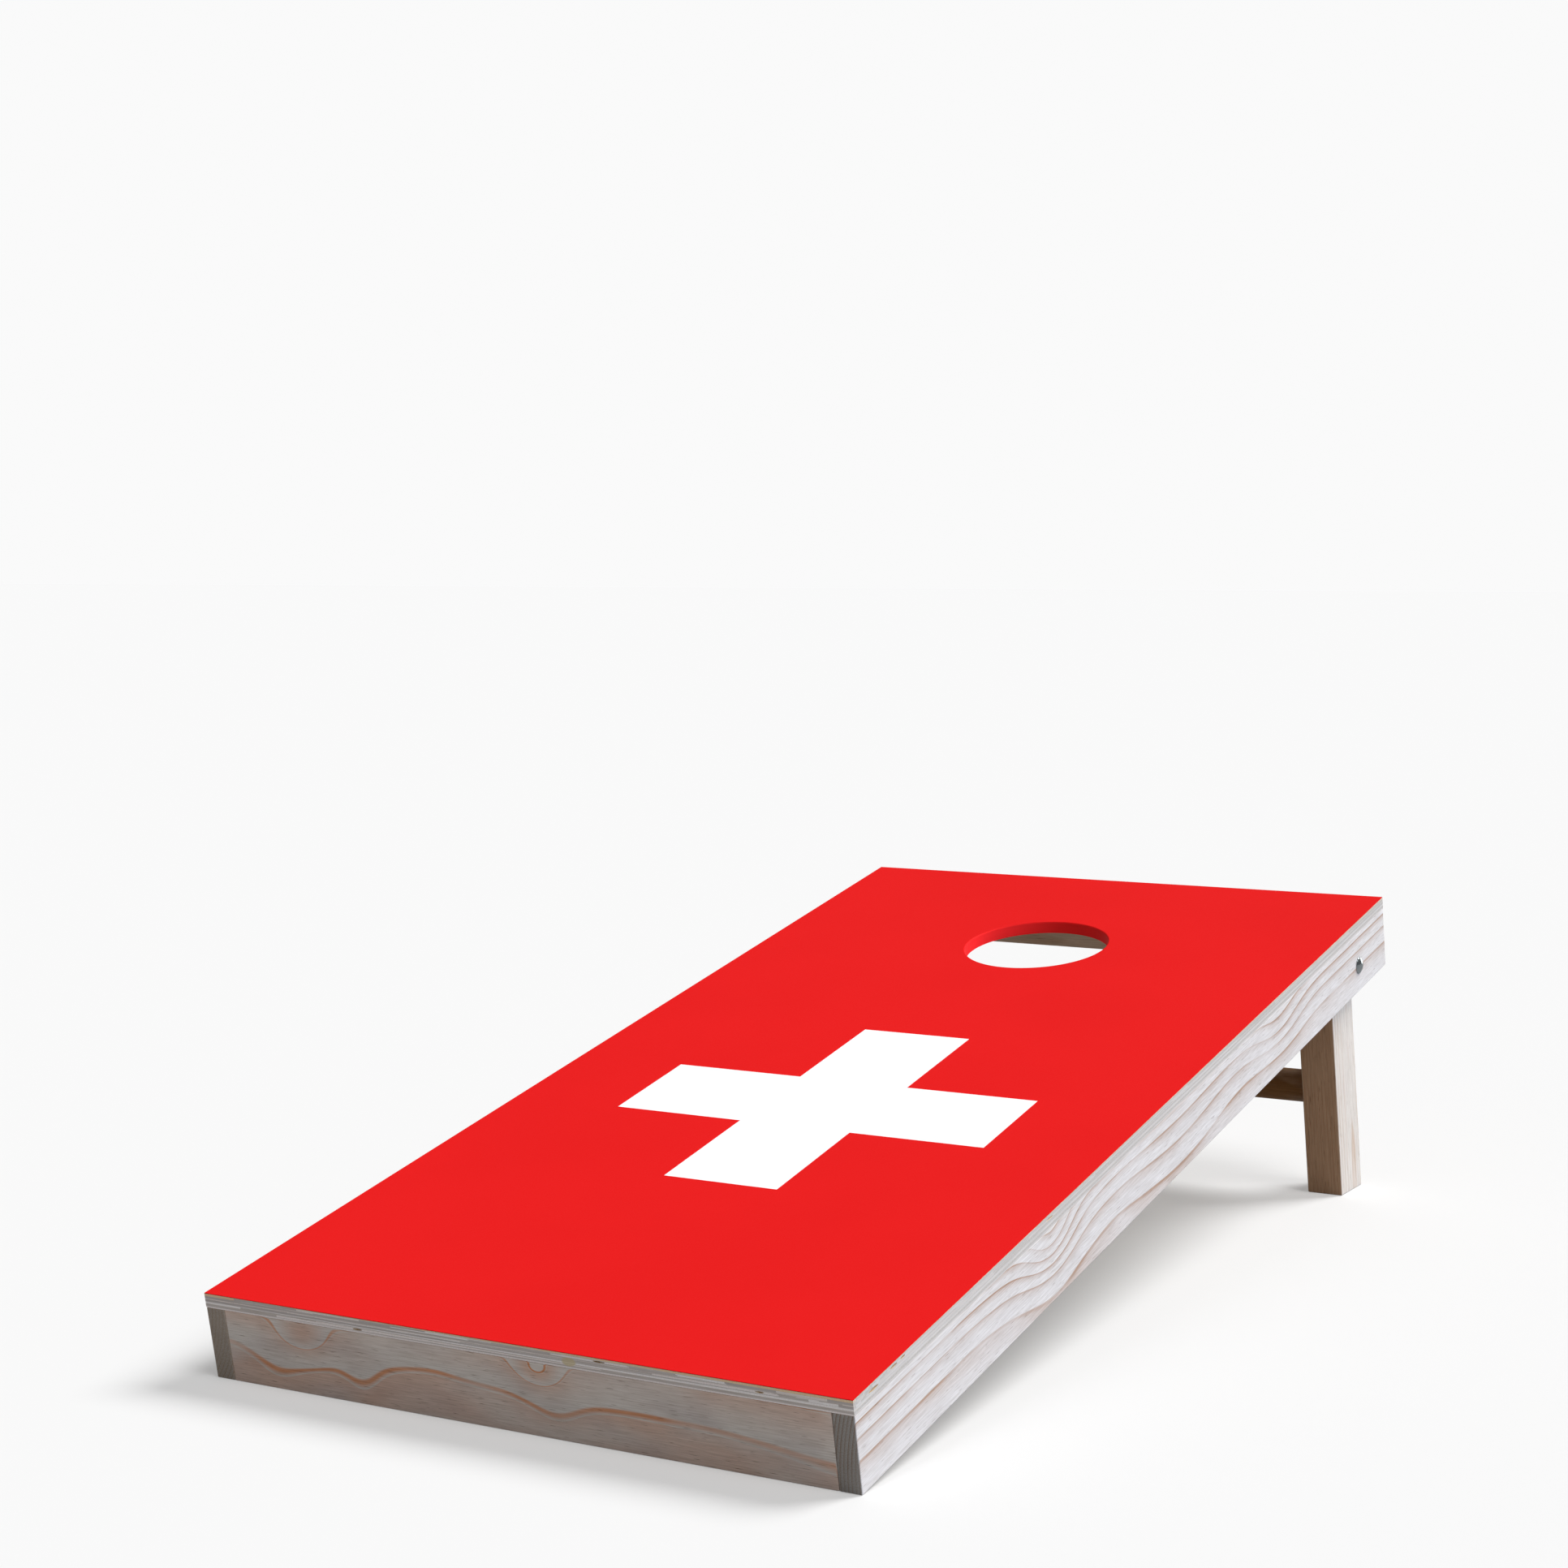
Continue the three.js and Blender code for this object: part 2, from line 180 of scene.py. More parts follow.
def add(
    tree: Tree,
    kind: str,
    *values: object,
    out: int | str = 0,
    named: dict[int | str, object] | None = None,
    ramp: Sequence[tuple[float, str | float]] = (),
    **settings: object,
) -> Socket | None:
    """Adds one node with its settings and links.

    Args:
        tree: The tree that the node goes in.
        kind: The node's type. A shader node's goes without the "ShaderNode".
        *values: Its inputs in order. A socket is linked, a list of sockets is linked in turn, a hex colour
            is turned to linear, None is left alone and anything else is set.
        out: The output to hand back.
        named: Inputs given by name or number.
        ramp: A colour ramp's stops, as position and hex colour, or as position and linear grey level.
        **settings: The node's own properties.

    Returns:
        The chosen output, or None where the node has none.
    """
    made = tree.nodes.new(kind if kind.startswith(("Geometry", "Function", "Node")) else f"ShaderNode{kind}")
    for name, value in settings.items():
        setattr(made, name, value)
    stops = made.color_ramp.elements if ramp else ()
    while len(stops) > 1:
        stops.remove(stops[-1])
    for i, (place, colour) in enumerate(ramp):
        stop = stops.new(place) if i else stops[0]
        stop.position = place
        stop.color = srgb(colour) if isinstance(colour, str) else (colour, colour, colour, 1.0)
    for key, value in [*enumerate(values), *(named or {}).items()]:
        for one in value if isinstance(value, list) else [value]:
            if isinstance(one, Socket):
                tree.links.new(one, made.inputs[key])
            elif one is not None:
                is_colour = isinstance(one, str) and one.startswith("#")
                made.inputs[key].default_value = srgb(one) if is_colour else one
    return made.outputs[out] if len(made.outputs) else None


def surface(name: str) -> tuple[Material, Tree]:
    """Makes a material with an empty node tree.

    Args:
        name: The material's name.

    Returns:
        The material and its tree.
    """
    made = bpy.data.materials.new(name)
    made.use_nodes = True
    made.node_tree.nodes.clear()
    return made, made.node_tree


def mottle(tree: Tree, place: Socket, scale: Point, detail: float) -> Socket:
    """Adds a cloudy pattern with its own size along each axis.

    Args:
        tree: The material's tree.
        place: Where on the piece.
        scale: How many clouds there are to a unit, each way.
        detail: How many finer layers it has.

    Returns:
        The pattern, about 0.5.
    """
    scaled = add(tree, "VectorMath", place, scale, operation="MULTIPLY")
    return add(tree, "TexNoise", named={"Vector": scaled, "Scale": 1.0, "Detail": detail})


def coat(
    tree: Tree, colour: Socket, rough: Socket, height: Socket, relief: Flat, **shader: float
) -> None:
    """Ends a material's tree in its relief and its shader.

    Args:
        tree: The material's tree.
        colour: The surface's colour.
        rough: Its roughness.
        height: What stands proud of it.
        relief: The relief's strength, and its depth in millimetres.
        **shader: The shader's other inputs, with underscores for the spaces in their names.
    """
    depth = {"Height": height, "Strength": relief[0], "Distance": relief[1] * MM}
    bump = add(tree, "Bump", named=depth, out="Normal")
    inputs = {"Base Color": colour, "Roughness": rough, "Normal": bump}
    inputs |= {name.replace("_", " "): value for name, value in shader.items()}
    add(tree, "OutputMaterial", add(tree, "BsdfPrincipled", named=inputs))


# --------------------------------------------------------------------------------------------- finishes


@dataclass(frozen=True)
class Swirl:
    """A place where the rings bulge round a knot that lies at or under the face.

    Attributes:
        along: Its place along the fibres, in millimetres.
        across: Its place across the face.
        length: How far it reaches along the fibres.
        width: How far it reaches across them.
        lift: How far it pushes the rings, in millimetres of wood depth.
    """

    along: float
    across: float
    length: float
    width: float
    lift: float


@dataclass(frozen=True)
class PlanedPine:
    """Planed, unsealed pine lumber.

    Pale earlywood with tan latewood lines that come up slowly and stop sharply, since each ring darkens
    through the summer. Wide faces are flat-sawn, so the lines wander, and end grain shows them upright.

    Attributes:
        name: The material's name.
        early: Earlywood colour.
        late: Latewood colour.
        stain: Colour of the weathered blotches.
        ends: Tint of the end grain.
        heart: Tint of painted shade on the faces towards the thrower.
        fleck: Tint of the resin canals.
        ring: Ring spacing in millimetres.
        pith: Distance from the face to the tree's pith.
        phase: Shift of the rings, in millimetres.
        late_share: Share of each ring that is latewood.
        drift: How far the rings wander.
        strength: How strongly the latewood shows.
        blotch: How strongly the stain shows.
        swirls: Places where the rings bulge.
    """

    name: str
    early: str = "#DCCCBC"
    late: str = "#B98F68"
    stain: str = "#CBBDB2"
    ends: str = "#C4C6C8"
    heart: str = "#FFFFFF"
    fleck: str = "#C0B2A6"
    ring: float = 3.2
    pith: float = 200.0
    phase: float = 0.0
    late_share: float = 0.4
    drift: float = 3.0
    strength: float = 0.75
    blotch: float = 0.35
    swirls: tuple[Swirl, ...] = ()

    DRIFT_SCALE = (1 / 260, 1 / 60, 1 / 60)  # rings wander over about a foot of length
    FIBRE_SCALE = (1 / 28, 1 / 1.1, 1 / 1.1)  # fibres are finer; drawn at 1 mm so that they show
    FLECK_SCALE = (1 / 14, 1 / 0.8, 1 / 0.8)  # resin canals, as short dark dashes
    BLOTCH_SCALE = (1 / 75, 1 / 28, 1 / 28)
    FADE_SCALE = (1 / 110, 1 / 40, 1 / 40)  # a line comes and goes along the board

    def depth(self, tree: Tree, place: Socket) -> Socket:
        """Adds the distance from the pith, pushed about by the wander and the swirls.

        Args:
            tree: The material's tree.
            place: Millimetres along, across and through the piece.

        Returns:
            The depth in millimetres, less the pith's own distance.
        """
        flat = add(tree, "VectorMath", place, (0, 1, 1), operation="MULTIPLY")
        from_pith = add(tree, "VectorMath", flat, (0, 0, self.pith), operation="ADD")
        bow = add(tree, "VectorMath", from_pith, out="Value", operation="LENGTH")
        total = add(tree, "Math", bow, self.phase - self.pith, operation="ADD")
        wander = mottle(tree, place, self.DRIFT_SCALE, 2.0)
        centred = add(tree, "Math", wander, 0.5, operation="SUBTRACT")
        total = add(tree, "Math", centred, 2 * self.drift, total, operation="MULTIPLY_ADD")
        for swirl in self.swirls:
            middle = (swirl.along, swirl.across, 0)
            size = (1 / swirl.length, 1 / swirl.width, 0)
            off = add(tree, "VectorMath", place, middle, operation="SUBTRACT")
            off = add(tree, "VectorMath", off, size, operation="MULTIPLY")
            far = add(tree, "VectorMath", off, off, out="Value", operation="DOT_PRODUCT")
            less = add(tree, "Math", far, -1.0, operation="MULTIPLY")
            bulge = add(tree, "Math", less, operation="EXPONENT")
            total = add(tree, "Math", bulge, swirl.lift, total, operation="MULTIPLY_ADD")
        return total

    def build(self) -> Material:
        """Makes the material.

        Returns:
            The material.
        """
        made, tree = surface(self.name)
        place = add(tree, "Attribute", out="Vector", attribute_name=GRAIN)
        ends, heart = (
            add(tree, "Attribute", out="Fac", attribute_name=name) for name in (END_GRAIN, PAINTED_FRONT_SHADE)
        )
        streaks = mottle(tree, place, self.FIBRE_SCALE, 3.0)
        flecks = mottle(tree, place, self.FLECK_SCALE, 1.0)
        blotches = mottle(tree, place, self.BLOTCH_SCALE, 3.0)
        fade = mottle(tree, place, self.FADE_SCALE, 1.0)

        rings = add(tree, "Math", self.depth(tree, place), self.ring, operation="DIVIDE")
        season = add(tree, "Math", rings, operation="FRACT")
        begins = 1 - self.late_share
        summer = ((0.0, 0.0), (begins, 0.05), (0.86, 0.5), (0.93, 1.0), (0.965, 0.95), (1.0, 0.0))
        late = add(tree, "ValToRGB", season, ramp=summer)
        year = add(tree, "Math", rings, operation="FLOOR")
        luck = add(tree, "TexWhiteNoise", named={"W": year}, noise_dimensions="1D")
        vigour = add(tree, "MapRange", luck, 0.0, 1.0, 0.7 * self.strength, self.strength)
        shown = add(tree, "Math", late, vigour, operation="MULTIPLY")
        fade = add(tree, "MapRange", fade, 0.36, 0.56, 0.4, 1.0)
        shown = add(tree, "Math", shown, fade, operation="MULTIPLY")

        patch = add(tree, "MapRange", blotches, 0.45, 0.7, 0.0, self.blotch)
        wood = add(tree, "Mix", named={0: patch, 6: self.early, 7: self.stain}, **COLOUR)
        wood = add(tree, "Mix", named={0: shown, 6: wood, 7: self.late}, **COLOUR)
        fibre = add(tree, "ValToRGB", streaks, ramp=((0.3, "#E4E0DC"), (0.7, "#FFFFFF")))
        canal = add(tree, "ValToRGB", flecks, ramp=((0.66, "#FFFFFF"), (0.78, self.fleck)))
        # the last tint is painted shade on the faces towards the thrower
        for share, tint in ((1.0, fibre), (1.0, canal), (ends, self.ends), (heart, self.heart)):
            wood = add(tree, "Mix", named={0: share, 6: wood, 7: tint}, **TINT)
        rough = add(tree, "MapRange", streaks, 0.3, 0.7, 0.78, 0.62)
        raised = add(tree, "Math", late, 0.6, streaks, operation="MULTIPLY_ADD")
        coat(tree, wood, rough, raised, (0.25, 0.25), IOR=1.5, Specular_IOR_Level=0.25)
        return made


@dataclass(frozen=True)
class BirchPly:
    """Rotary-cut birch plywood with sawn, unfilled edges.

    Veneers lie crosswise in turn, so along the front pale long grain alternates with greyer end grain,
    with a dark hairline of glue between them. Along the sides the sanding has evened them out.

    Attributes:
        name: The material's name.
        tones: One tone for each veneer as it shows on an edge, from the underside up.
        face: Colour of the face veneer.
        side: Tone that the side edges tend to.
        sanded: How nearly they reach it.
        pores: Tint of the side edges.
        filler: Place of the filled gap on the front edge, in board millimetres.
    """

    name: str
    tones: tuple[str, ...] = ("#F4EBE9", "#C8BFBA", "#F6F1F0", "#C1B8B5", "#EDE3DE", "#C4BBB7", "#F3D3AD")
    face: str = "#E6D6BE"
    side: str = "#CFC8BE"
    sanded: float = 0.65
    pores: str = "#DEDCD8"
    filler: Point = (57.0, 0.0, 69.0)

    FIBRE_SCALES = ((1 / 30, 1 / 1.2, 1 / 1.5), (1 / 1.2, 1 / 30, 1 / 1.5))  # across, then along the board
    FIGURE = ((0, "#FFFFFF"), (0.7, "#F6EFE4"), (0.96, "#D9C4A4"), (1, "#FFFFFF"))  # one peeled ring
    FIGURE_RINGS = 14.0

    def build(self) -> Material:
        """Makes the material.

        Returns:
            The material.
        """
        made, tree = surface(self.name)
        place = add(tree, "Attribute", out="Vector", attribute_name=GRAIN)
        ends, ply, on_edge = (
            add(tree, "Attribute", out="Fac", attribute_name=name) for name in (END_GRAIN, PLY, EDGE)
        )
        plies = len(self.tones)
        layer = add(tree, "Math", ply, 0.5, operation="ADD")
        layer = add(tree, "Math", layer, plies, operation="DIVIDE")
        edge = add(tree, "ValToRGB", layer, ramp=[(i / plies, tone) for i, tone in enumerate(self.tones)])
        edge.node.color_ramp.interpolation = "CONSTANT"
        even = add(tree, "Math", ends, self.sanded, operation="MULTIPLY")
        edge = add(tree, "Mix", named={0: even, 6: edge, 7: self.side}, **COLOUR)

        lengthwise = add(tree, "Math", ply, 2.0, operation="MODULO")
        lengthwise = add(tree, "Math", lengthwise, 0.5, operation="LESS_THAN")
        across, along = (mottle(tree, place, scale, 3.0) for scale in self.FIBRE_SCALES)
        streaks = add(tree, "Mix", named={0: lengthwise, 2: across, 3: along})
        rings = mottle(tree, place, (1 / 120, 1 / 420, 0), 2.0)
        rings = add(tree, "Math", rings, self.FIGURE_RINGS, operation="MULTIPLY")
        rings = add(tree, "Math", rings, operation="FRACT")
        figure = add(tree, "ValToRGB", rings, ramp=self.FIGURE)
        face = add(tree, "Mix", named={0: 1.0, 6: self.face, 7: figure}, **TINT)
        wood = add(tree, "Mix", named={0: on_edge, 6: face, 7: edge}, **COLOUR)
        fibre = add(tree, "ValToRGB", streaks, ramp=((0.3, "#EEECEA"), (0.62, "#FFFFFF")))
        for share, tint in ((1.0, fibre), (ends, self.pores)):
            wood = add(tree, "Mix", named={0: share, 6: wood, 7: tint}, **TINT)
        off = add(tree, "VectorMath", place, self.filler, operation="SUBTRACT")
        off = add(tree, "VectorMath", off, (1 / 7, 1 / 5, 1 / 4), operation="MULTIPLY")
        far = add(tree, "VectorMath", off, out="Value", operation="LENGTH")
        plug = add(tree, "MapRange", far, 1.0, 0.8, 0.0, 0.7)
        wood = add(tree, "Mix", named={0: plug, 6: wood, 7: "#CDBB8C"}, **COLOUR)
        rough = add(tree, "MapRange", streaks, 0.3, 0.7, 0.8, 0.62)
        coat(tree, wood, rough, streaks, (0.2, 0.08), IOR=1.5, Specular_IOR_Level=0.25)
        return made


@dataclass(frozen=True)
class EvenFinish:
    """A made surface of one colour, with a slow cloud in its tone and a fine texture in its relief.

    Attributes:
        name: The material's name.
        colour: Its colour.
        shade: The same colour where the cloud is thickest.
        stretched: A brighter colour, painted light where the film lines the hole, if it has one.
    """

    name: str
    colour: str
    shade: str
    stretched: str = ""

    CLOUD = (160.0, 4.0)  # the cloud's size in millimetres, and its detail
    TEXTURE = (0.9, 1.0)  # the same for the texture
    SHADED = (0.4, 0.65, 0.0, 1.0)  # the cloud's range, and how far it takes the colour to the shade
    ROUGH = (0.3, 0.7, 0.5, 0.62)  # the texture's range, and the roughness that it gives
    CLOUD_SETS_ROUGH = False
    RELIEF = (0.15, 0.08)
    SHADER = {"IOR": 1.46, "Specular_IOR_Level": 0.04}

    def build(self) -> Material:
        """Makes the material.

        Returns:
            The material.
        """
        made, tree = surface(self.name)
        place = add(tree, "TexCoord", out="Object")
        cloud, texture = (
            mottle(tree, place, (1 / size / MM,) * 3, detail) for size, detail in (self.CLOUD, self.TEXTURE)
        )
        thick = add(tree, "MapRange", cloud, *self.SHADED)
        colour = add(tree, "Mix", named={0: thick, 6: self.colour, 7: self.shade}, **COLOUR)
        # brightens the colour where the film lines the hole, as painted light against the shade there
        if self.stretched:
            lit_share = add(tree, "Attribute", out="Fac", attribute_name=PAINTED_LINING_LIGHT)
            colour = add(tree, "Mix", named={0: lit_share, 6: colour, 7: self.stretched}, **COLOUR)
        rough = add(tree, "MapRange", cloud if self.CLOUD_SETS_ROUGH else texture, *self.ROUGH)
        coat(tree, colour, rough, texture, self.RELIEF, **self.SHADER)
        return made


@dataclass(frozen=True)
class MattPrint(EvenFinish):
    """Ink-jet print under a matt laminate.

    An even colour with a faint orange peel, bumps about a millimetre apart, that breaks up reflections, so
    the deck reads the same from every side. Its red is brightened where it lines the hole, as painted light
    there.
    """


@dataclass(frozen=True)
class ZincPlate(EvenFinish):
    """Bright zinc plating on cold-headed steel: a cool, clean metal with faint drawn marks."""

    colour: str = "#A2A9AC"
    shade: str = "#747D81"

    CLOUD = (5.0, 3.0)
    TEXTURE = (0.6, 3.0)
    SHADED = (0.4, 0.7, 0.0, 0.7)
    ROUGH = (0.3, 0.7, 0.14, 0.24)
    CLOUD_SETS_ROUGH = True
    RELIEF = (0.12, 0.05)
    SHADER = {"Metallic": 1.0}


@dataclass(frozen=True)
class MouldedNylon(EvenFinish):
    """Natural injection-moulded nylon: milky, slightly waxy, with a fine moulded texture."""

    colour: str = "#E8E4DA"
    shade: str = "#D8D2C4"

    CLOUD = (6.0, 2.0)
    TEXTURE = (0.5, 2.0)
    SHADED = (0.0, 1.0, 0.0, 1.0)
    ROUGH = (0.3, 0.7, 0.4, 0.55)
    RELIEF = (0.15, 0.05)
    SHADER = {"IOR": 1.53}


# ---------------------------------------------------------------------------------------------- shaping


def link(name: str, mesh: bpy.types.Mesh) -> Solid:
    """Puts a mesh in the scene as an object.

    Args:
        name: The object's name.
        mesh: Its mesh.

    Returns:
        The object.
    """
    shaped = bpy.data.objects.new(name, mesh)
    bpy.context.scene.collection.objects.link(shaped)
    return shaped


def place_mesh(name: str, made: bmesh.types.BMesh) -> Solid:
    """Turns a bmesh into a smooth-shaded object with its faces outward.

    Args:
        name: The object's name.
        made: The mesh, which is used up.

    Returns:
        The object.
    """
    bmesh.ops.recalc_face_normals(made, faces=made.faces)
    mesh = bpy.data.meshes.new(name)
    made.to_mesh(mesh)
    made.free()
    mesh.shade_smooth()
    return link(name, mesh)


def bake(shaped: Solid) -> None:
    """Turns an object's live modifiers into a plain mesh.

    Args:
        shaped: The object, which keeps its name.
    """
    graph = bpy.context.evaluated_depsgraph_get()
    solid = bpy.data.meshes.new_from_object(
        shaped.evaluated_get(graph), preserve_all_data_layers=True, depsgraph=graph
    )
    shaped.modifiers.clear()
    old, shaped.data = shaped.data, solid
    bpy.data.meshes.remove(old)


def cut(shaped: Solid, tools: Sequence[Solid]) -> None:
    """Cuts tools out of a solid, which uses the tools up.

    Args:
        shaped: The solid.
        tools: Closed shapes.
    """
    for tool in tools:
        step = shaped.modifiers.new("cut", "BOOLEAN")
        step.operation, step.solver, step.object = "DIFFERENCE", "EXACT", tool
    bake(shaped)
    for tool in tools:
        bpy.data.meshes.remove(tool.data)


def soften(shaped: Solid, angle: float = 50) -> None:
    """Keeps wide faces flat in the light and lets the eased edges round into them.

    Args:
        shaped: The solid.
        angle: The smallest corner that stays sharp, in degrees.
    """
    shaped.data.shade_smooth()
    shaped.data.set_sharp_from_angle(angle=math.radians(angle))
    shaped.modifiers.new("soften", "WEIGHTED_NORMAL").keep_sharp = True
    bake(shaped)


def plank(name: str, outline: Sequence[Point], sweep: Point, ease: float) -> Solid:
    """Extrudes a flat outline and eases every edge.

    Args:
        name: The object's name.
        outline: Corners of the outline in order.
        sweep: The way and distance it is extruded.
        ease: Width taken off each edge.

    Returns:
        The solid.
    """
    made = bmesh.new()
    face = made.faces.new([made.verts.new(corner) for corner in outline])
    side = bmesh.ops.extrude_face_region(made, geom=[face])["geom"]
    bmesh.ops.translate(made, verts=[v for v in side if isinstance(v, bmesh.types.BMVert)], vec=sweep)
    bmesh.ops.recalc_face_normals(made, faces=made.faces)
    sharp = [edge for edge in made.edges if edge.calc_face_angle(0) > math.radians(30)]
    bmesh.ops.bevel(made, geom=sharp, offset=ease, segments=2, profile=0.5, affect="EDGES")
    return place_mesh(name, made)


def block(name: str, low: Point, high: Point, ease: float) -> Solid:
    """Makes a box with eased edges.

    Args:
        name: The object's name.
        low: Its lowest corner.
        high: Its highest corner.
        ease: Width taken off each edge.

    Returns:
        The solid.
    """
    floor = [(x, y, low[2]) for x, y in ((low[0], low[1]), (high[0], low[1]), high[:2], (low[0], high[1]))]
    return plank(name, floor, (0, 0, high[2] - low[2]), ease)


def aimed(at: Vector, along: Vector) -> Matrix:
    """Works out how to stand something that points up the Z axis somewhere else.

    Args:
        at: Where its origin goes.
        along: The way that it points there.

    Returns:
        The move.
    """
    return Matrix.Translation(at) @ UP.rotation_difference(along).to_matrix().to_4x4()


@dataclass(frozen=True)
class Ring:
    """One ring of points round a turned, forged or threaded piece.

    Attributes:
        radius: Its radius, or half the distance across its flats.
        height: Its place along the axis.
        outline: Round, square or hexagonal.
        cap: The radius that a turned chamfer trims its corners to.
        thread: Depth of a thread that winds through it.
        pitch: That thread's pitch.
    """

    radius: float
    height: float
    outline: Outline = Outline.ROUND
    cap: float = math.inf
    thread: float = 0.0
    pitch: float = 1.0

    def reach(self, angle: float) -> float:
        """Works out how far the ring stands from the axis.

        Args:
            angle: The direction from the axis, in radians.

        Returns:
            The distance there.
        """
        wide = self.radius
        if self.outline.value:
            step = 2 * math.pi / self.outline.value
            wide /= math.cos((angle % step) - step / 2)
        wind = math.cos(2 * math.pi * self.height / self.pitch - angle)
        return min(wide, self.cap) - self.thread * (0.5 - 0.5 * wind)


def skin(name: str, profile: Iterable[Ring | tuple], facets: int = 48) -> Solid:
    """Joins rings into a closed solid about the Z axis.

    A first and last ring of no radius close to points. Otherwise the last ring joins the first, which
    makes a hollow ring.

    Args:
        name: The object's name.
        profile: The rings in order, each as a ring or as a ring's values.
        facets: Points in each ring, a multiple of 24 where there are flats.

    Returns:
        The solid.
    """
    rings = [one if isinstance(one, Ring) else Ring(*one) for one in profile]
    made = bmesh.new()
    loops = []
    angles = [2 * math.pi * i / facets for i in range(facets)]
    for ring in rings:
        if ring.radius == 0:
            loops.append([made.verts.new((0, 0, ring.height))] * facets)
            continue
        points = [(ring.reach(a) * math.cos(a), ring.reach(a) * math.sin(a), ring.height) for a in angles]
        loops.append([made.verts.new(point) for point in points])
    if rings[0].radius:
        loops.append(loops[0])
    for low, high in zip(loops, loops[1:]):
        for i in range(facets):
            made.faces.new(list(dict.fromkeys([low[i - 1], low[i], high[i], high[i - 1]])))
    shaped = place_mesh(name, made)
    shaped.data.set_sharp_from_angle(angle=math.radians(38))
    return shaped


def drill(at: Vector, along: Vector, *steps: Flat, facets: int = 32) -> Solid:
    """Makes a drill, plain or stepped.

    Args:
        at: A point on its axis.
        along: Its direction.
        *steps: Its radius and its place along the axis, at each corner of its profile.
        facets: Its number of sides.

    Returns:
        The solid.
    """
    tool = skin("drill", [(0, steps[0][1]), *steps, (0, steps[-1][1])], facets)
    tool.data.transform(aimed(at, along))
    return tool


@dataclass(frozen=True)
class Fibres:
    """How a piece was sawn from the tree.

    Attributes:
        along: The way its fibres run.
        through: The way from its face into the wood.
        origin: The point that its grain is measured from.
        shift: Millimetres added along, across and through, so that no two pieces share a figure.
    """

    along: Point
    through: Point
    origin: Point = (0, 0, 0)
    shift: Point = (0, 0, 0)

    def write(self, mesh: bpy.types.Mesh) -> None:
        """Stores the grain of each point, and which faces are end grain or look to the thrower.

        Args:
            mesh: The piece's mesh, still in board millimetres.
        """
        along, through = Vector(self.along), Vector(self.through)
        turn = Matrix((along, along.cross(through), through))
        grain = mesh.attributes.new(GRAIN, "FLOAT_VECTOR", "POINT")
        for point, value in zip(mesh.vertices, grain.data):
            value.vector = turn @ (point.co - Vector(self.origin)) + Vector(self.shift)
        mark_faces(mesh, END_GRAIN, [face.normal.dot(along) ** 2 for face in mesh.polygons])
        # faces towards the thrower, which take a tint of painted shade
        mark_faces(mesh, PAINTED_FRONT_SHADE, [max(0.0, -face.normal.y) ** 2 for face in mesh.polygons])


def mark_faces(mesh: bpy.types.Mesh, name: str, values: Sequence[float]) -> None:
    """Stores a value on each face.

    Args:
        mesh: The mesh.
        name: The attribute's name.
        values: The value of each face.
    """
    mesh.attributes.new(name, "FLOAT", "FACE").data.foreach_set("value", values)


def enter(shaped: Solid, finish: Material, slot: str, body: Body, *nodes: str) -> None:
    """Carries a finished piece into the row frame, dresses it and puts it on its body.

    Args:
        shaped: The piece, in board millimetres.
        finish: Its material.
        slot: Not used.
        body: The body that it rides on.
        *nodes: The frame's nodes that it stands for.
    """
    shaped.data.transform(BOARD)
    shaped.data.materials.clear()
    shaped.data.materials.append(finish)
    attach(shaped, body.value)
    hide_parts(*nodes)
    shaped.data.calc_loop_triangles()
    LOG.info("%s: %d triangles, on %s", shaped.name, len(shaped.data.loop_triangles), body.value)


# ------------------------------------------------------------------------------------- geometry node trees


def new_tree(name: str, **sizes: tuple[str, object]) -> tuple[Tree, dict[str, Socket]]:
    """Starts a geometry node tree with named inputs.

    Args:
        name: The tree's name.
        **sizes: Each input's kind and first value, by its name with underscores for spaces.

    Returns:
        The tree, and its inputs by name.
    """
    tree = bpy.data.node_groups.new(name, "GeometryNodeTree")
    tree.interface.new_socket("Geometry", in_out="INPUT", socket_type="NodeSocketGeometry")
    for label, (kind, value) in sizes.items():
        label = label.replace("_", " ")
        one = tree.interface.new_socket(label, in_out="INPUT", socket_type=f"NodeSocket{kind}")
        if value is not None:
            one.default_value = value
    tree.interface.new_socket("Geometry", in_out="OUTPUT", socket_type="NodeSocketGeometry")
    start = tree.nodes.new("NodeGroupInput")
    return tree, {socket.name: socket for socket in start.outputs if socket.name}


def end_tree(tree: Tree, instances: Socket, finish: Material) -> Tree:
    """Ends a geometry node tree in real, dressed geometry.

    Args:
        tree: The tree.
        instances: What it has laid or seated.
        finish: The material.

    Returns:
        The tree.
    """
    real = add(tree, "GeometryNodeRealizeInstances", instances)
    add(tree, "NodeGroupOutput", add(tree, "GeometryNodeSetMaterial", real, named={"Material": finish}))
    return tree


def run_tree(shaped: Solid, tree: Tree, **values: object) -> None:
    """Runs a geometry node tree on an object and bakes what comes out.

    Args:
        shaped: The object.
        tree: The tree.
        **values: Inputs by name, with underscores for spaces.
    """
    step = shaped.modifiers.new(tree.name, "NODES")
    step.node_group = tree
    keys = {item.name: item.identifier for item in tree.interface.items_tree if item.in_out == "INPUT"}
    for label, value in values.items():
        step[keys[label.replace("_", " ")]] = value
    bake(shaped)


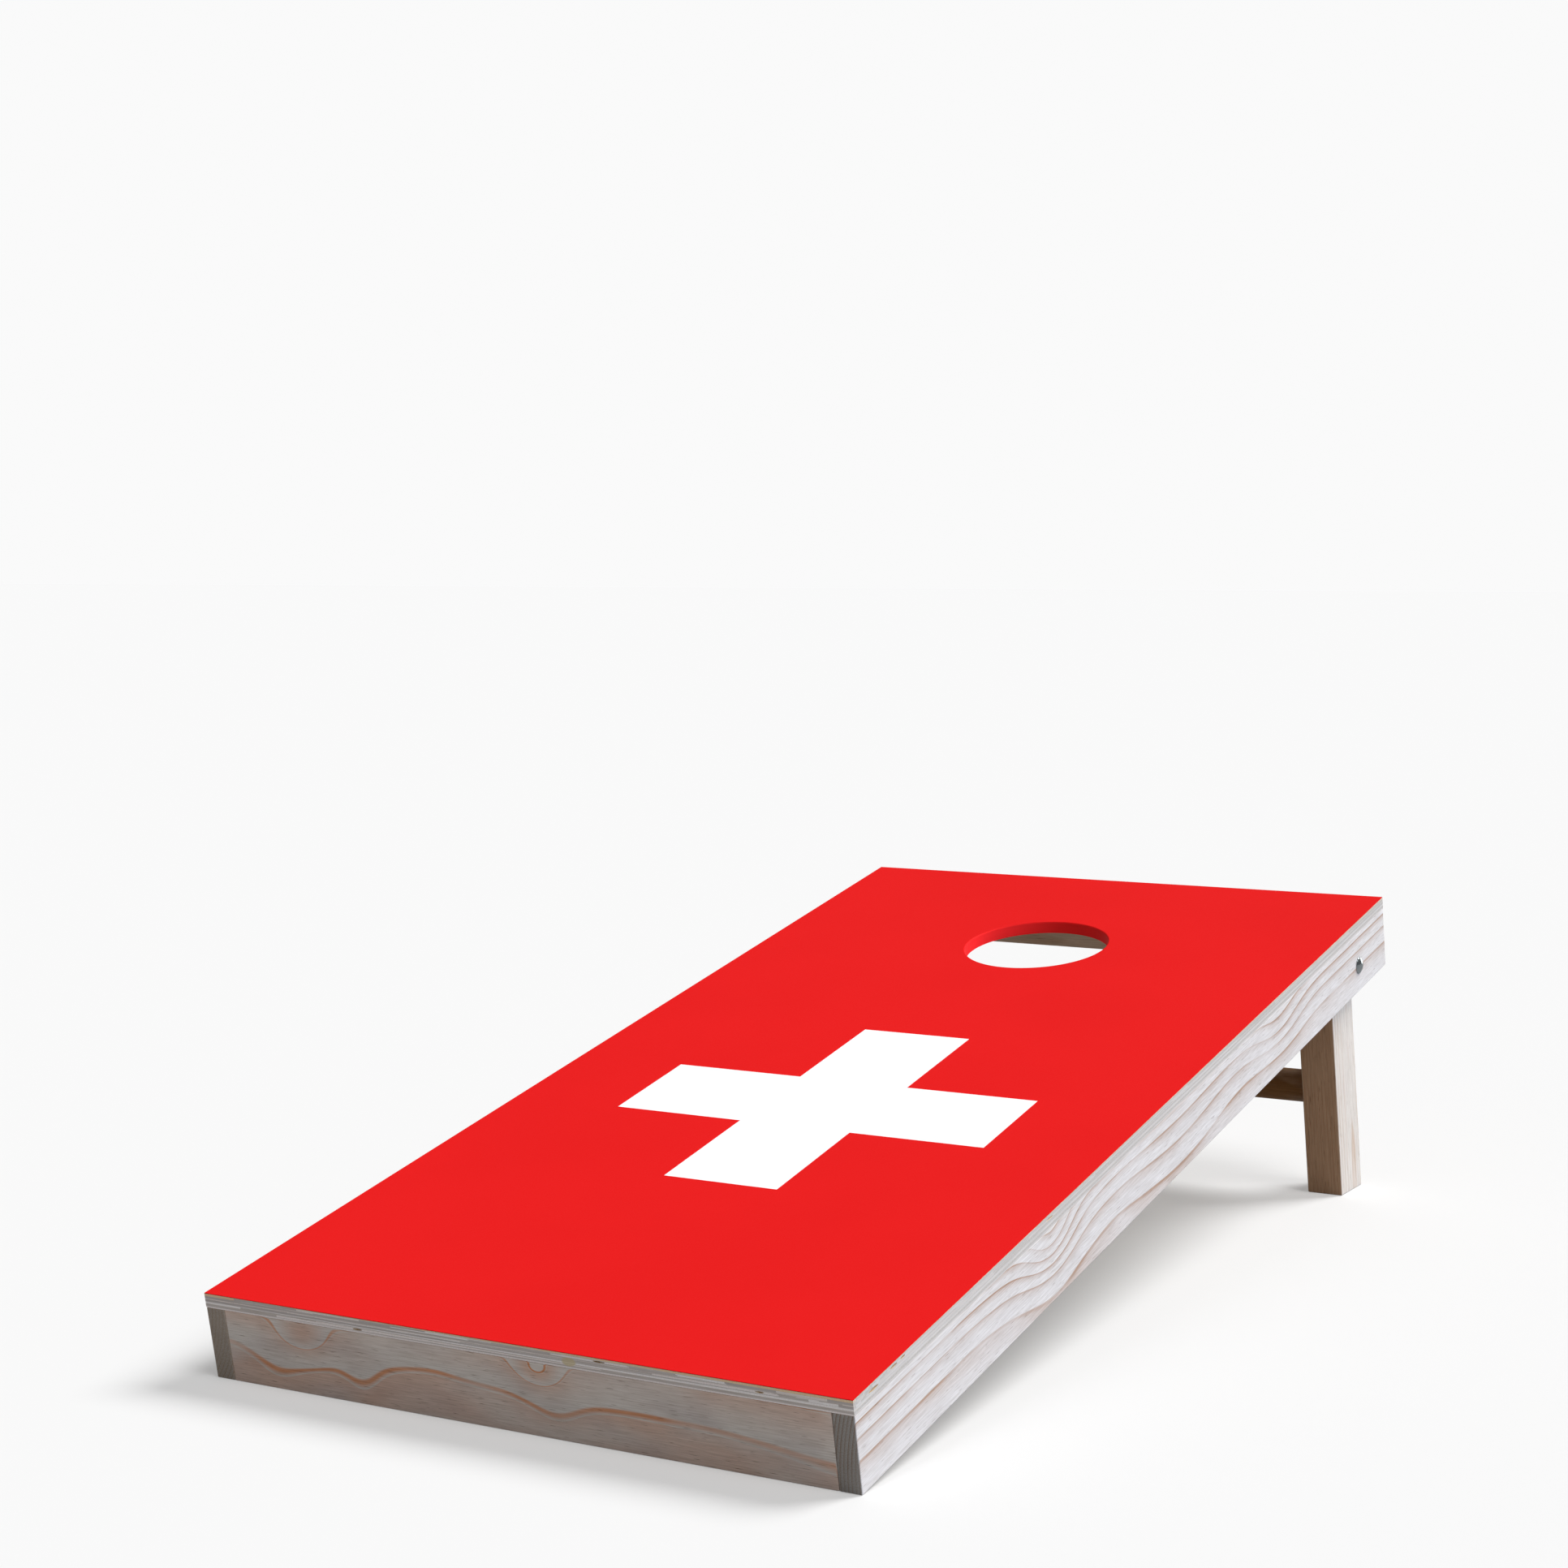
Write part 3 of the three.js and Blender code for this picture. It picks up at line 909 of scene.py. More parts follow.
def veneer_stack_tree(finish: Material) -> Tree:
    """Builds the tree that lays up plywood.

    One sheet with a round hole is laid at each point of the input, as thick as the point's own "thick",
    and each a touch smaller than the rest, as sawn veneers are.

    Args:
        finish: The plywood's material.

    Returns:
        The tree.
    """
    tree, given = new_tree(
        "veneer_stack",
        Width=("Float", BOARD_WIDTH),
        Length=("Float", BOARD_LENGTH),
        Hole_Radius=("Float", HOLE_RADIUS),
        Hole_At=("Vector", (0, 0, 0)),
        Stray=("Float", 0.0003),
        Seed=("Int", 5),
    )
    sides = (given["Width"], given["Length"])
    sheet = add(tree, "GeometryNodeCurvePrimitiveQuadrilateral", *sides, mode="RECTANGLE")
    round_hole = {"Resolution": HOLE_FACETS, "Radius": given["Hole Radius"]}
    circle = add(tree, "GeometryNodeCurvePrimitiveCircle", named=round_hole, mode="RADIUS")
    hole = add(tree, "GeometryNodeSetPosition", circle, named={"Offset": given["Hole At"]})
    outline = add(tree, "GeometryNodeJoinGeometry", [hole, sheet])
    floor = add(tree, "GeometryNodeFillCurve", outline, mode="NGONS")
    rise = {"Offset": (0, 0, 1), "Offset Scale": 1.0, "Individual": False}
    walls = add(tree, "GeometryNodeExtrudeMesh", floor, named=rise, mode="FACES")
    under = add(tree, "GeometryNodeFlipFaces", floor)
    shell = add(tree, "GeometryNodeJoinGeometry", [walls, under])
    veneer = add(tree, "GeometryNodeMergeByDistance", shell, named={"Distance": 0.001})

    thick = add(tree, "GeometryNodeInputNamedAttribute", "thick", out="Attribute", data_type="FLOAT")
    least = add(tree, "Math", given["Stray"], -1.0, 1.0, operation="MULTIPLY_ADD")
    chance = {2: least, 3: 1.0, "Seed": given["Seed"]}
    grow = add(tree, "FunctionNodeRandomValue", named=chance, out=1, data_type="FLOAT")
    laid = {"Instance": veneer, "Scale": add(tree, "CombineXYZ", grow, grow, thick)}
    laid = add(tree, "GeometryNodeInstanceOnPoints", given["Geometry"], named=laid)
    count = {"Name": PLY, "Value": add(tree, "GeometryNodeInputIndex")}
    domain = {"data_type": "FLOAT", "domain": "INSTANCE"}
    return end_tree(tree, add(tree, "GeometryNodeStoreNamedAttribute", laid, named=count, **domain), finish)


def seated_hardware_tree(finish: Material) -> Tree:
    """Builds the tree that seats a piece of hardware at each point of the input.

    Each one points along its point's "aim" and is turned about it by chance, as it came to rest when it
    was driven home.

    Args:
        finish: The hardware's material.

    Returns:
        The tree.
    """
    tree, given = new_tree(
        "seated_hardware", Hardware=("Object", None), Most_Turn=("Float", 0.0), Seed=("Int", 11)
    )
    one = add(tree, "GeometryNodeObjectInfo", given["Hardware"], out="Geometry")
    way = add(tree, "GeometryNodeInputNamedAttribute", AIM, out="Attribute", data_type="FLOAT_VECTOR")
    facing = add(tree, "FunctionNodeAlignRotationToVector", None, 1.0, way, axis="Z")
    chance = {2: 0.0, 3: given["Most Turn"], "Seed": given["Seed"]}
    turn = add(tree, "FunctionNodeRandomValue", named=chance, out=1, data_type="FLOAT")
    spin = add(tree, "FunctionNodeAxisAngleToRotation", (0, 0, 1), turn)
    driven = add(tree, "FunctionNodeRotateRotation", facing, spin, rotation_space="LOCAL")
    seated = {"Instance": one, "Rotation": driven}
    seated = add(tree, "GeometryNodeInstanceOnPoints", given["Geometry"], named=seated)
    return end_tree(tree, seated, finish)


@dataclass(frozen=True)
class Seat:
    """Where a piece of hardware goes.

    Attributes:
        node: The frame's node that it stands for.
        at: Where its underside bears, in board millimetres.
        aim: The way it points.
    """

    node: str
    at: Vector
    aim: Vector


def seat_hardware(
    name: str, one: Solid, seats: Sequence[Seat], finish: Material, slot: str, most_turn: float = 0.0
) -> None:
    """Seats one piece of hardware everywhere that it is used, as one object on the board.

    Args:
        name: The name of the whole set.
        one: The piece, pointing up the Z axis from its seat, which is used up.
        seats: Where it goes.
        finish: Its material.
        slot: The record's slot.
        most_turn: The most that it is turned about its own axis, in radians.
    """
    mesh = bpy.data.meshes.new(name)
    mesh.from_pydata([seat.at for seat in seats], [], [])
    aims = mesh.attributes.new(AIM, "FLOAT_VECTOR", "POINT")
    for seat, value in zip(seats, aims.data):
        value.vector = seat.aim
    placed = link(name, mesh)
    run_tree(placed, seated_hardware_tree(finish), Hardware=one, Most_Turn=most_turn)
    bpy.data.meshes.remove(one.data)
    enter(placed, finish, slot, Body.BOARD, *(seat.node for seat in seats))


# ------------------------------------------------------------------------------------------ sub-assemblies


@dataclass(frozen=True)
class PocketScrew:
    """A self-tapping screw with a flat washer head, driven at a slant from a drilled pocket.

    Attributes:
        node: The frame's node.
        holder: The piece that the pocket is drilled in.
        target: The piece that the screw bites into.
        out: Where its axis leaves the holder.
        travel: The way it is driven, before the slant.
        opens: The way the pocket's face looks.
        size: Its size.
    """

    node: str
    holder: str
    target: str
    out: Vector
    travel: Vector
    opens: Vector
    size: ScrewSize

    SLANT = math.radians(15)
    POCKET_RADIUS = 4.9
    POCKET_LENGTH = 62.0
    PILOT_RADIUS = 2.2

    @property
    def along(self) -> Vector:
        """The way the screw points."""
        return (self.travel * math.cos(self.SLANT) - self.opens * math.sin(self.SLANT)).normalized()

    def pocket_tool(self) -> Solid:
        """Makes the stepped drill that cuts the pocket and the clearance hole below it.

        Returns:
            The drill.
        """
        pocket, pilot, seat = self.POCKET_RADIUS, self.PILOT_RADIUS, self.size.value[1]
        steps = ((pocket, -self.POCKET_LENGTH), (pocket, -seat), (pilot, -seat), (pilot, seat))
        return drill(self.out, self.along, *steps, facets=24)

    def pilot_tool(self) -> Solid:
        """Makes the drill for the piece that the screw bites into.

        Returns:
            The drill.
        """
        length, seat = self.size.value
        ends = ((self.PILOT_RADIUS, -6), (self.PILOT_RADIUS, length - seat + 0.5))
        return drill(self.out, self.along, *ends, facets=12)

    def place(self) -> Seat:
        """Where the head bears."""
        return Seat(self.node, self.out - self.along * (self.size.value[1] + HAIRLINE), self.along)


@dataclass
class ScrewSet:
    """The pocket screws that hold the frame together and the deck down.

    Attributes:
        finish: Their material.
        head_radius: Radius of the washer head.
        head_height: Height of the head.
        core: Radius over the thread.
        thread: Depth of the thread.
        pitch: Pitch of the thread.
        recess: Half the width of the square drive.
        point: Length of the tapered tip.
        heights: Heights of the two screws at each end of a cross rail.
        cross_x: How far a cross rail's deck screws are from its middle.
        side_y: Where a side rail's deck screws are.
    """

    finish: Material
    head_radius: float = 4.4
    head_height: float = 2.6
    core: float = 2.1
    thread: float = 0.6
    pitch: float = 2.3
    recess: float = 1.45
    point: float = 5.0
    heights: tuple[float, ...] = (15, 45)
    cross_x: float = 150
    side_y: tuple[float, ...] = (150, 450, 760, 1030)
    screws: list[PocketScrew] = field(default_factory=list)

    def plan(self) -> None:
        """Works out every screw."""
        plan, deck = [], "deck_panel"
        for rail in CROSS_RAILS:
            holder, opens = rail.node, Vector((0, rail.opens, 0))
            for side in Side:
                node, target = f"{rail.word}_{side.word}", f"side_rail_{side.word}"
                for i, height in enumerate(self.heights, start=1):
                    out, way = Vector((side.value * RAIL_INNER, rail.y, height)), ACROSS * side.value
                    plan.append((f"frame_screw_{node}_{i}", holder, target, out, way, opens, ScrewSize.FRAME))
                out = Vector((side.value * self.cross_x, rail.y, RAIL_HEIGHT))
                plan.append((f"deck_screw_{node}", holder, deck, out, UP, opens, ScrewSize.DECK))
        for side in Side:
            holder, opens = f"side_rail_{side.word}", -side.value * ACROSS
            for i, y in enumerate(self.side_y, start=1):
                node = f"deck_screw_side_{side.word}_{i}"
                out = Vector((side.value * (RAIL_INNER + RAIL_THICK / 2), y, RAIL_HEIGHT))
                plan.append((node, holder, deck, out, UP, opens, ScrewSize.DECK))
        self.screws = [PocketScrew(*one) for one in plan]

    def tools(self, piece: str) -> list[Solid]:
        """Makes the drills that one piece of wood needs.

        Args:
            piece: The name of its node.

        Returns:
            The drills.
        """
        pockets = [screw.pocket_tool() for screw in self.screws if screw.holder == piece]
        return pockets + [screw.pilot_tool() for screw in self.screws if screw.target == piece]

    def one(self, length: float) -> Solid:
        """Makes one screw, its head's underside at the origin.

        Args:
            length: Its length under the head.

        Returns:
            The screw.
        """
        top, drive, wide, square = -self.head_height, self.recess, self.head_radius, Outline.SQUARE
        rings = [
            (0, top + 1.9),
            (drive * 0.8, top + 1.9, square),
            (drive, top + 0.15, square),
            (drive + 0.15, top, square),
            (2.9, top),
            (3.15, top + 0.15),
            (3.3, top + 1.5),
            (wide - 0.2, top + 1.6),
            (wide, top + 1.8),
            (wide, -0.2),
            (wide - 0.2, 0),
            (self.core, 0),
        ]
        start, tip = 1.5, length - self.point
        turns = 4 * int((tip - start) / self.pitch)
        for i in range(turns + 1):
            height = start + i * (tip - start) / turns
            rings.append(Ring(self.core, height, thread=self.thread, pitch=self.pitch))
        for share in (0.75, 0.5, 0.25):
            rings.append(Ring(self.core * share, length - self.point * share, thread=self.thread * share))
        return skin("screw", [*rings, (0, length)], 24)

    def build(self) -> None:
        """Seats both lengths of screw."""
        for size in ScrewSize:
            seats = [screw.place() for screw in self.screws if screw.size is size]
            name, one = f"{size.name.lower()}_screws", self.one(size.value[0])
            seat_hardware(name, one, seats, self.finish, "zinc_steel", most_turn=math.pi / 2)


@dataclass
class Frame:
    """Five lengths of planed pine, butted together and drilled for their screws and bolts.

    Attributes:
        finishes: The material of each piece, by its node's name.
        screws: The screws that it is drilled for.
        ease: Width taken off each edge by the planer.
        bolt_radius: Radius of the bolt holes.
        neck: Width of the square that the bolt's neck bites into the hole.
        neck_deep: How deep that square goes.
    """

    finishes: dict[str, Material]
    screws: ScrewSet
    ease: float = 1.0
    bolt_radius: float = 4.2
    neck: float = 8.3
    neck_deep: float = 4.5

    def side_rail(self, side: Side) -> None:
        """Makes a side rail.

        Args:
            side: Which one.
        """
        node = f"side_rail_{side.word}"
        inner, outer = sorted((side.value * RAIL_INNER, side.value * BOARD_WIDTH / 2))
        rail = block(f"pine_{node}", (inner, 0, 0), (outer, BOARD_LENGTH, RAIL_HEIGHT), self.ease)
        inward, head = -side.value * ACROSS, side.bolt_head
        bolt_hole = drill(head, inward, (self.bolt_radius, -1), (self.bolt_radius, RAIL_THICK + 1))
        half = Vector((self.neck_deep, self.neck / 2, self.neck / 2))
        chisel = block("chisel", tuple(head - half), tuple(head + half), 0.1)
        cut(rail, [*self.screws.tools(node), bolt_hole, chisel])
        soften(rail)
        turned = side is Side.LEFT
        origin = (side.value * BOARD_WIDTH / 2, 0, RAIL_HEIGHT if turned else 0)
        Fibres((0, 1, 0), tuple(inward), origin, (900, 7, 4) if turned else (0, 0, 0)).write(rail.data)
        enter(rail, self.finishes[node], "pine_lumber", Body.BOARD, node)

    def cross_rail(self, place: CrossRail) -> None:
        """Makes one of the rails that run across.

        Args:
            place: Which one.
        """
        node, y, opens = place.node, place.y, place.opens
        half, deep = RAIL_INNER - HAIRLINE, RAIL_THICK / 2
        rail = block(f"pine_{node}", (-half, y - deep, 0), (half, y + deep, RAIL_HEIGHT), self.ease)
        cut(rail, self.screws.tools(node))
        soften(rail)
        Fibres((opens, 0, 0), (0, opens, 0), (0, y - opens * deep, 0), place.shift).write(rail.data)
        enter(rail, self.finishes[node], "pine_lumber", Body.BOARD, node)

    def build(self) -> None:
        """Makes all five pieces."""
        for side in Side:
            self.side_rail(side)
        for place in CROSS_RAILS:
            self.cross_rail(place)


@dataclass
class Deck:
    """The plywood panel: seven veneers with a round hole, its edges left as the saw left them.

    Attributes:
        finish: Its material.
        screws: The screws that bite into it.
        veneers: The thickness of each veneer, from the underside up.
        glue: The hairline between two veneers.
        hole_radius: The hole in the wood, which the film then lines.
        voids: Small gaps in the core at the sawn edges, as their middle and half sizes.
    """

    finish: Material
    screws: ScrewSet
    veneers: tuple[float, ...] = (1.45, 2.05, 1.85, 2.1, 0.7, 2.15, 1.95)
    glue: float = 0.04
    hole_radius: float = 77.0
    voids: tuple[tuple[Point, Point], ...] = (
        ((-147, 0, 66.4), (5, 3, 0.8)),
        ((85, 0, 73.2), (6, 3, 0.7)),
        ((226, 0, 70.4), (4, 2, 0.8)),
        ((304.8, 31, 70.6), (5, 8, 1.0)),
        ((304.8, 64, 73.2), (4, 6, 0.8)),
        ((304.8, 79, 73.6), (3, 4, 0.7)),
        ((304.8, 345, 72.3), (3, 7, 0.7)),
        ((-304.8, 210, 70.2), (3, 8, 0.8)),
        ((-304.8, 890, 66.2), (3, 6, 0.7)),
        ((120, 1219.2, 70.5), (7, 3, 0.8)),
    )

    def layup(self) -> Solid:
        """Lays one point for each veneer, at the panel's middle.

        Returns:
            The points, as an object.
        """
        height = RAIL_HEIGHT + HAIRLINE
        points = []
        for veneer in self.veneers:
            points.append((0, 0, height))
            height += veneer
        mesh = bpy.data.meshes.new("plywood_deck")
        mesh.from_pydata(points, [], [])
        thick = mesh.attributes.new("thick", "FLOAT", "POINT")
        thick.data.foreach_set("value", [veneer - self.glue for veneer in self.veneers])
        return link("plywood_deck", mesh)

    def void(self, middle: Point, half: Point) -> Solid:
        """Makes the shape of one gap in the core.

        Args:
            middle: Its middle.
            half: Half its size each way.

        Returns:
            The shape to cut away.
        """
        made = bmesh.new()
        bmesh.ops.create_icosphere(made, subdivisions=2, radius=1)
        tool = place_mesh("void", made)
        tool.data.transform(Matrix.Translation(middle) @ Matrix.Diagonal((*half, 1)))
        return tool

    def build(self) -> None:
        """Makes the panel."""
        panel = self.layup()
        hole_at = (0, HOLE_AT - BOARD_LENGTH / 2, 0)
        run_tree(panel, veneer_stack_tree(self.finish), Hole_Radius=self.hole_radius, Hole_At=hole_at)
        panel.data.transform(Matrix.Translation((0, BOARD_LENGTH / 2, 0)))
        cut(panel, [*self.screws.tools("deck_panel"), *(self.void(*one) for one in self.voids)])
        soften(panel)
        Fibres(along=(1, 0, 0), through=(0, 0, 1)).write(panel.data)
        mark_faces(panel.data, EDGE, [float(abs(face.normal.z) < 0.7) for face in panel.data.polygons])
        enter(panel, self.finish, "birch_plywood", Body.BOARD, "deck_panel")


@dataclass
class Film:
    """The printed film: red over the whole deck and rolled down into the hole, with a white cross let in.

    Attributes:
        red: The red print.
        white: The white print.
        thick: Its thickness.
        roll: Radius that it rolls over the hole's edge with.
        roll_steps: The number of steps in the roll.
        span: The cross from tip to tip.
        arm: The width of its arms.
        cross_at: The y of the cross's middle.
        inlay_gap: The cut line round the cross.
        inset: How far it stops short of the deck's edge.
        skirt: Height of the lining's lower edge.
    """

    red: Material
    white: Material
    thick: float = 0.38
    roll: float = 1.4
    roll_steps: int = 5
    span: float = 15 * INCH
    arm: float = 4.5 * INCH
    cross_at: float = BOARD_LENGTH - 27.65 * INCH
    inlay_gap: float = 0.03
    inset: float = 0.1
    skirt: float = RAIL_HEIGHT + 0.3

    def cross_outline(self, grow: float) -> list[Flat]:
        # FF2A2A is painted light on the film's lining down the hole
        """Lists the cross's corners.

        Args:
            grow: How much wider it is on every side.

        Returns:
            The corners, anticlockwise.
        """
        arm, tip = self.arm / 2 + grow, self.span / 2 + grow
        quarter = [(arm, -tip), (arm, -arm), (tip, -arm)]
        corners = []
        for _ in range(4):
            corners += quarter
            quarter = [(-y, x) for x, y in quarter]
        return [(x, y + self.cross_at) for x, y in corners]

    def circle(self, radius: float) -> list[Flat]:
        """Lists points round the hole, anticlockwise."""
        angles = [2 * math.pi * i / HOLE_FACETS for i in range(HOLE_FACETS)]
        return [(radius * math.cos(a), HOLE_AT + radius * math.sin(a)) for a in angles]

    def wall(
        self, made: bmesh.types.BMesh, rows: Sequence[Sequence[Flat]], heights: Sequence[float]
    ) -> tuple[list[bmesh.types.BMVert], list[bmesh.types.BMVert]]:
        """Joins closed outlines, each at its own height, into a wall.

        Args:
            made: The mesh that the wall goes in.
            rows: The outlines, with as many points each.
            heights: Their heights.

        Returns:
            The points of the first and last outlines.
        """
        loops = [[made.verts.new((x, y, z)) for x, y in row] for row, z in zip(rows, heights)]
        for low, high in zip(loops, loops[1:]):
            for i in range(len(low)):
                made.faces.new((low[i - 1], low[i], high[i], high[i - 1]))
        return loops[0], loops[-1]

    def fill(self, made: bmesh.types.BMesh, loops: Iterable[Sequence[bmesh.types.BMVert]]) -> None:
        """Covers a flat region between closed loops of points.

        Args:
            made: The mesh.
            loops: The loops, the outermost first.
        """
        edges = [made.edges.get((loop[i - 1], loop[i])) for loop in loops for i in range(len(loop))]
        bmesh.ops.triangle_fill(made, use_beauty=True, use_dissolve=False, edges=edges)

    def build_red(self) -> None:
        """Makes the red film."""
        levels = top, under = BOARD_THICK, BOARD_THICK - self.thick
        half, low, high = BOARD_WIDTH / 2 - self.inset, self.inset, BOARD_LENGTH - self.inset
        sheet = [(-half, low), (half, low), (half, high), (-half, high)]
        bends = [math.pi / 2 * i / self.roll_steps for i in range(self.roll_steps + 1)]
        outer, inner, edge = self.roll, self.roll - self.thick, HOLE_RADIUS + self.roll
        radii = [edge - outer * math.sin(b) for b in bends] + [HOLE_RADIUS, HOLE_RADIUS + self.thick]
        radii += [edge - inner * math.sin(b) for b in reversed(bends)]
        heights = [top - outer * (1 - math.cos(b)) for b in bends] + [self.skirt, self.skirt]
        heights += [under - inner * (1 - math.cos(b)) for b in reversed(bends)]
        made = bmesh.new()
        sides = self.wall(made, [sheet] * 2, levels)
        inlay = self.wall(made, [self.cross_outline(self.inlay_gap)] * 2, levels)
        lining = self.wall(made, [self.circle(r) for r in radii], heights)
        for loops in zip(sides, inlay, lining):
            self.fill(made, loops)
        film = place_mesh("red_print_film", made)
        soften(film)
        # painted light on the upright faces of the lining in the hole
        lit_share = []
        for face in film.data.polygons:
            lining = math.hypot(face.center.x, face.center.y - HOLE_AT) < edge
            lit_share.append((1 - abs(face.normal.z)) * lining)
        mark_faces(film.data, PAINTED_LINING_LIGHT, lit_share)
        enter(film, self.red, "red_vinyl", Body.BOARD, "deck_film")

    def build_white(self) -> None:
        """Makes the white cross."""
        made = bmesh.new()
        ends = self.wall(made, [self.cross_outline(0)] * 2, [BOARD_THICK, BOARD_THICK - self.thick])
        for loop in ends:
            self.fill(made, [loop])
        cross = place_mesh("white_print_cross", made)
        soften(cross)
        enter(cross, self.white, "white_vinyl", Body.BOARD, "deck_film_cross")

    def build(self) -> None:
        """Makes both pieces."""
        self.build_red()
        self.build_white()


@dataclass
class LegPair:
    """Two pine legs and the dowel that joins them.

    Attributes:
        pine: The legs' material.
        dowel: The dowel's material.
        outer: x of a leg's outer face.
        thick: Its thickness.
        width: Its width along the board.
        corner: Radius of its swinging corner, about the pivot.
        corner_steps: The number of steps in that corner.
        ease: Width taken off each edge.
        rod_radius: The dowel's radius.
        rod_drop: How far the dowel is below the pivot.
        mortise: How deep it goes into each leg.
        glue: Height of the bead of glue round it.
    """

    pine: Material
    dowel: Material
    outer: float = RAIL_INNER - 1.6
    thick: float = 1.5 * INCH
    width: float = 2.5 * INCH
    corner: float = 35.2
    corner_steps: int = 14
    ease: float = 1.2
    rod_radius: float = 0.6875 * INCH
    rod_drop: float = 142.0
    mortise: float = 0.75 * INCH
    glue: float = 0.8

    @property
    def inner(self) -> float:
        """x of a leg's inner face."""
        return self.outer - self.thick

    @property
    def rod_at(self) -> Vector:
        """The dowel's middle."""
        return PIVOT - UP * self.rod_drop

    def outline(self, x: float) -> list[Point]:
        """Lists a leg's corners in side view, in board millimetres.

        The foot is cut along the ground. The corner behind the pivot stays square, and the one in front
        is rounded so that it clears the deck as the leg folds.

        Args:
            x: Where the outline lies.

        Returns:
            The corners in order.
        """
        half = self.width / 2
        foot = [(y, -(PIVOT_AT + y) * math.tan(TILT)) for y in (-half, half)]
        first, last = math.pi / 2, math.pi - math.acos(half / self.corner)
        turns = [first + (last - first) * i / self.corner_steps for i in range(self.corner_steps + 1)]
        arc = [(self.corner * math.cos(a), PIVOT_UP + self.corner * math.sin(a)) for a in turns]
        return [(x, PIVOT_AT + y, z) for y, z in [*foot, (half, PIVOT_UP + self.corner), *arc]]

    def leg(self, side: Side) -> None:
        """Makes one leg.

        Args:
            side: Which one.
        """
        node = f"leg_{side.word}"
        start = self.inner if side is Side.RIGHT else -self.outer
        leg = plank(f"pine_{node}", self.outline(start), (self.thick, 0, 0), self.ease)
        past, reach, wide = self.outer + 1, self.inner + self.mortise, self.rod_radius + 0.1
        hole = drill(PIVOT, ACROSS, (4.3, -past), (4.3, past))
        mortise = drill(self.rod_at, ACROSS, (wide, -reach), (wide, reach), facets=ROD_FACETS)
        cut(leg, [hole, mortise])
        soften(leg)
        origin = (side.value * self.outer, PIVOT_AT, 0)
        shift = (500, 12, 3) if side is Side.RIGHT else (2500, -20, 8)
        Fibres((0, 0, 1), (-side.value, 0, 0), origin, shift).write(leg.data)
        enter(leg, self.pine, "pine_lumber", Body.LEGS, node)

    def rod(self) -> None:
        """Turns the dowel, with chamfered ends and a bead of glue where it enters each leg."""
        radius, reach, face = self.rod_radius, self.inner + self.mortise - 0.2, self.inner - HAIRLINE
        half = [
            (0, reach),
            (radius - 1.5, reach),
            (radius, reach - 1.5),
            (radius, face),
            (radius + self.glue, face),
            (radius + self.glue * 0.4, face - self.glue * 0.5),
            (radius, face - self.glue),
        ]
        rod = skin("dowel_leg_brace", [(r, -x) for r, x in half] + half[::-1], ROD_FACETS)
        rod.data.transform(aimed(self.rod_at, ACROSS))
        Fibres((1, 0, 0), (0, 1, 0), tuple(self.rod_at)).write(rod.data)
        enter(rod, self.dowel, "hardwood_dowel", Body.LEGS, "leg_dowel")

    def build(self) -> None:
        """Makes both legs and the dowel."""
        for side in Side:
            self.leg(side)
        self.rod()


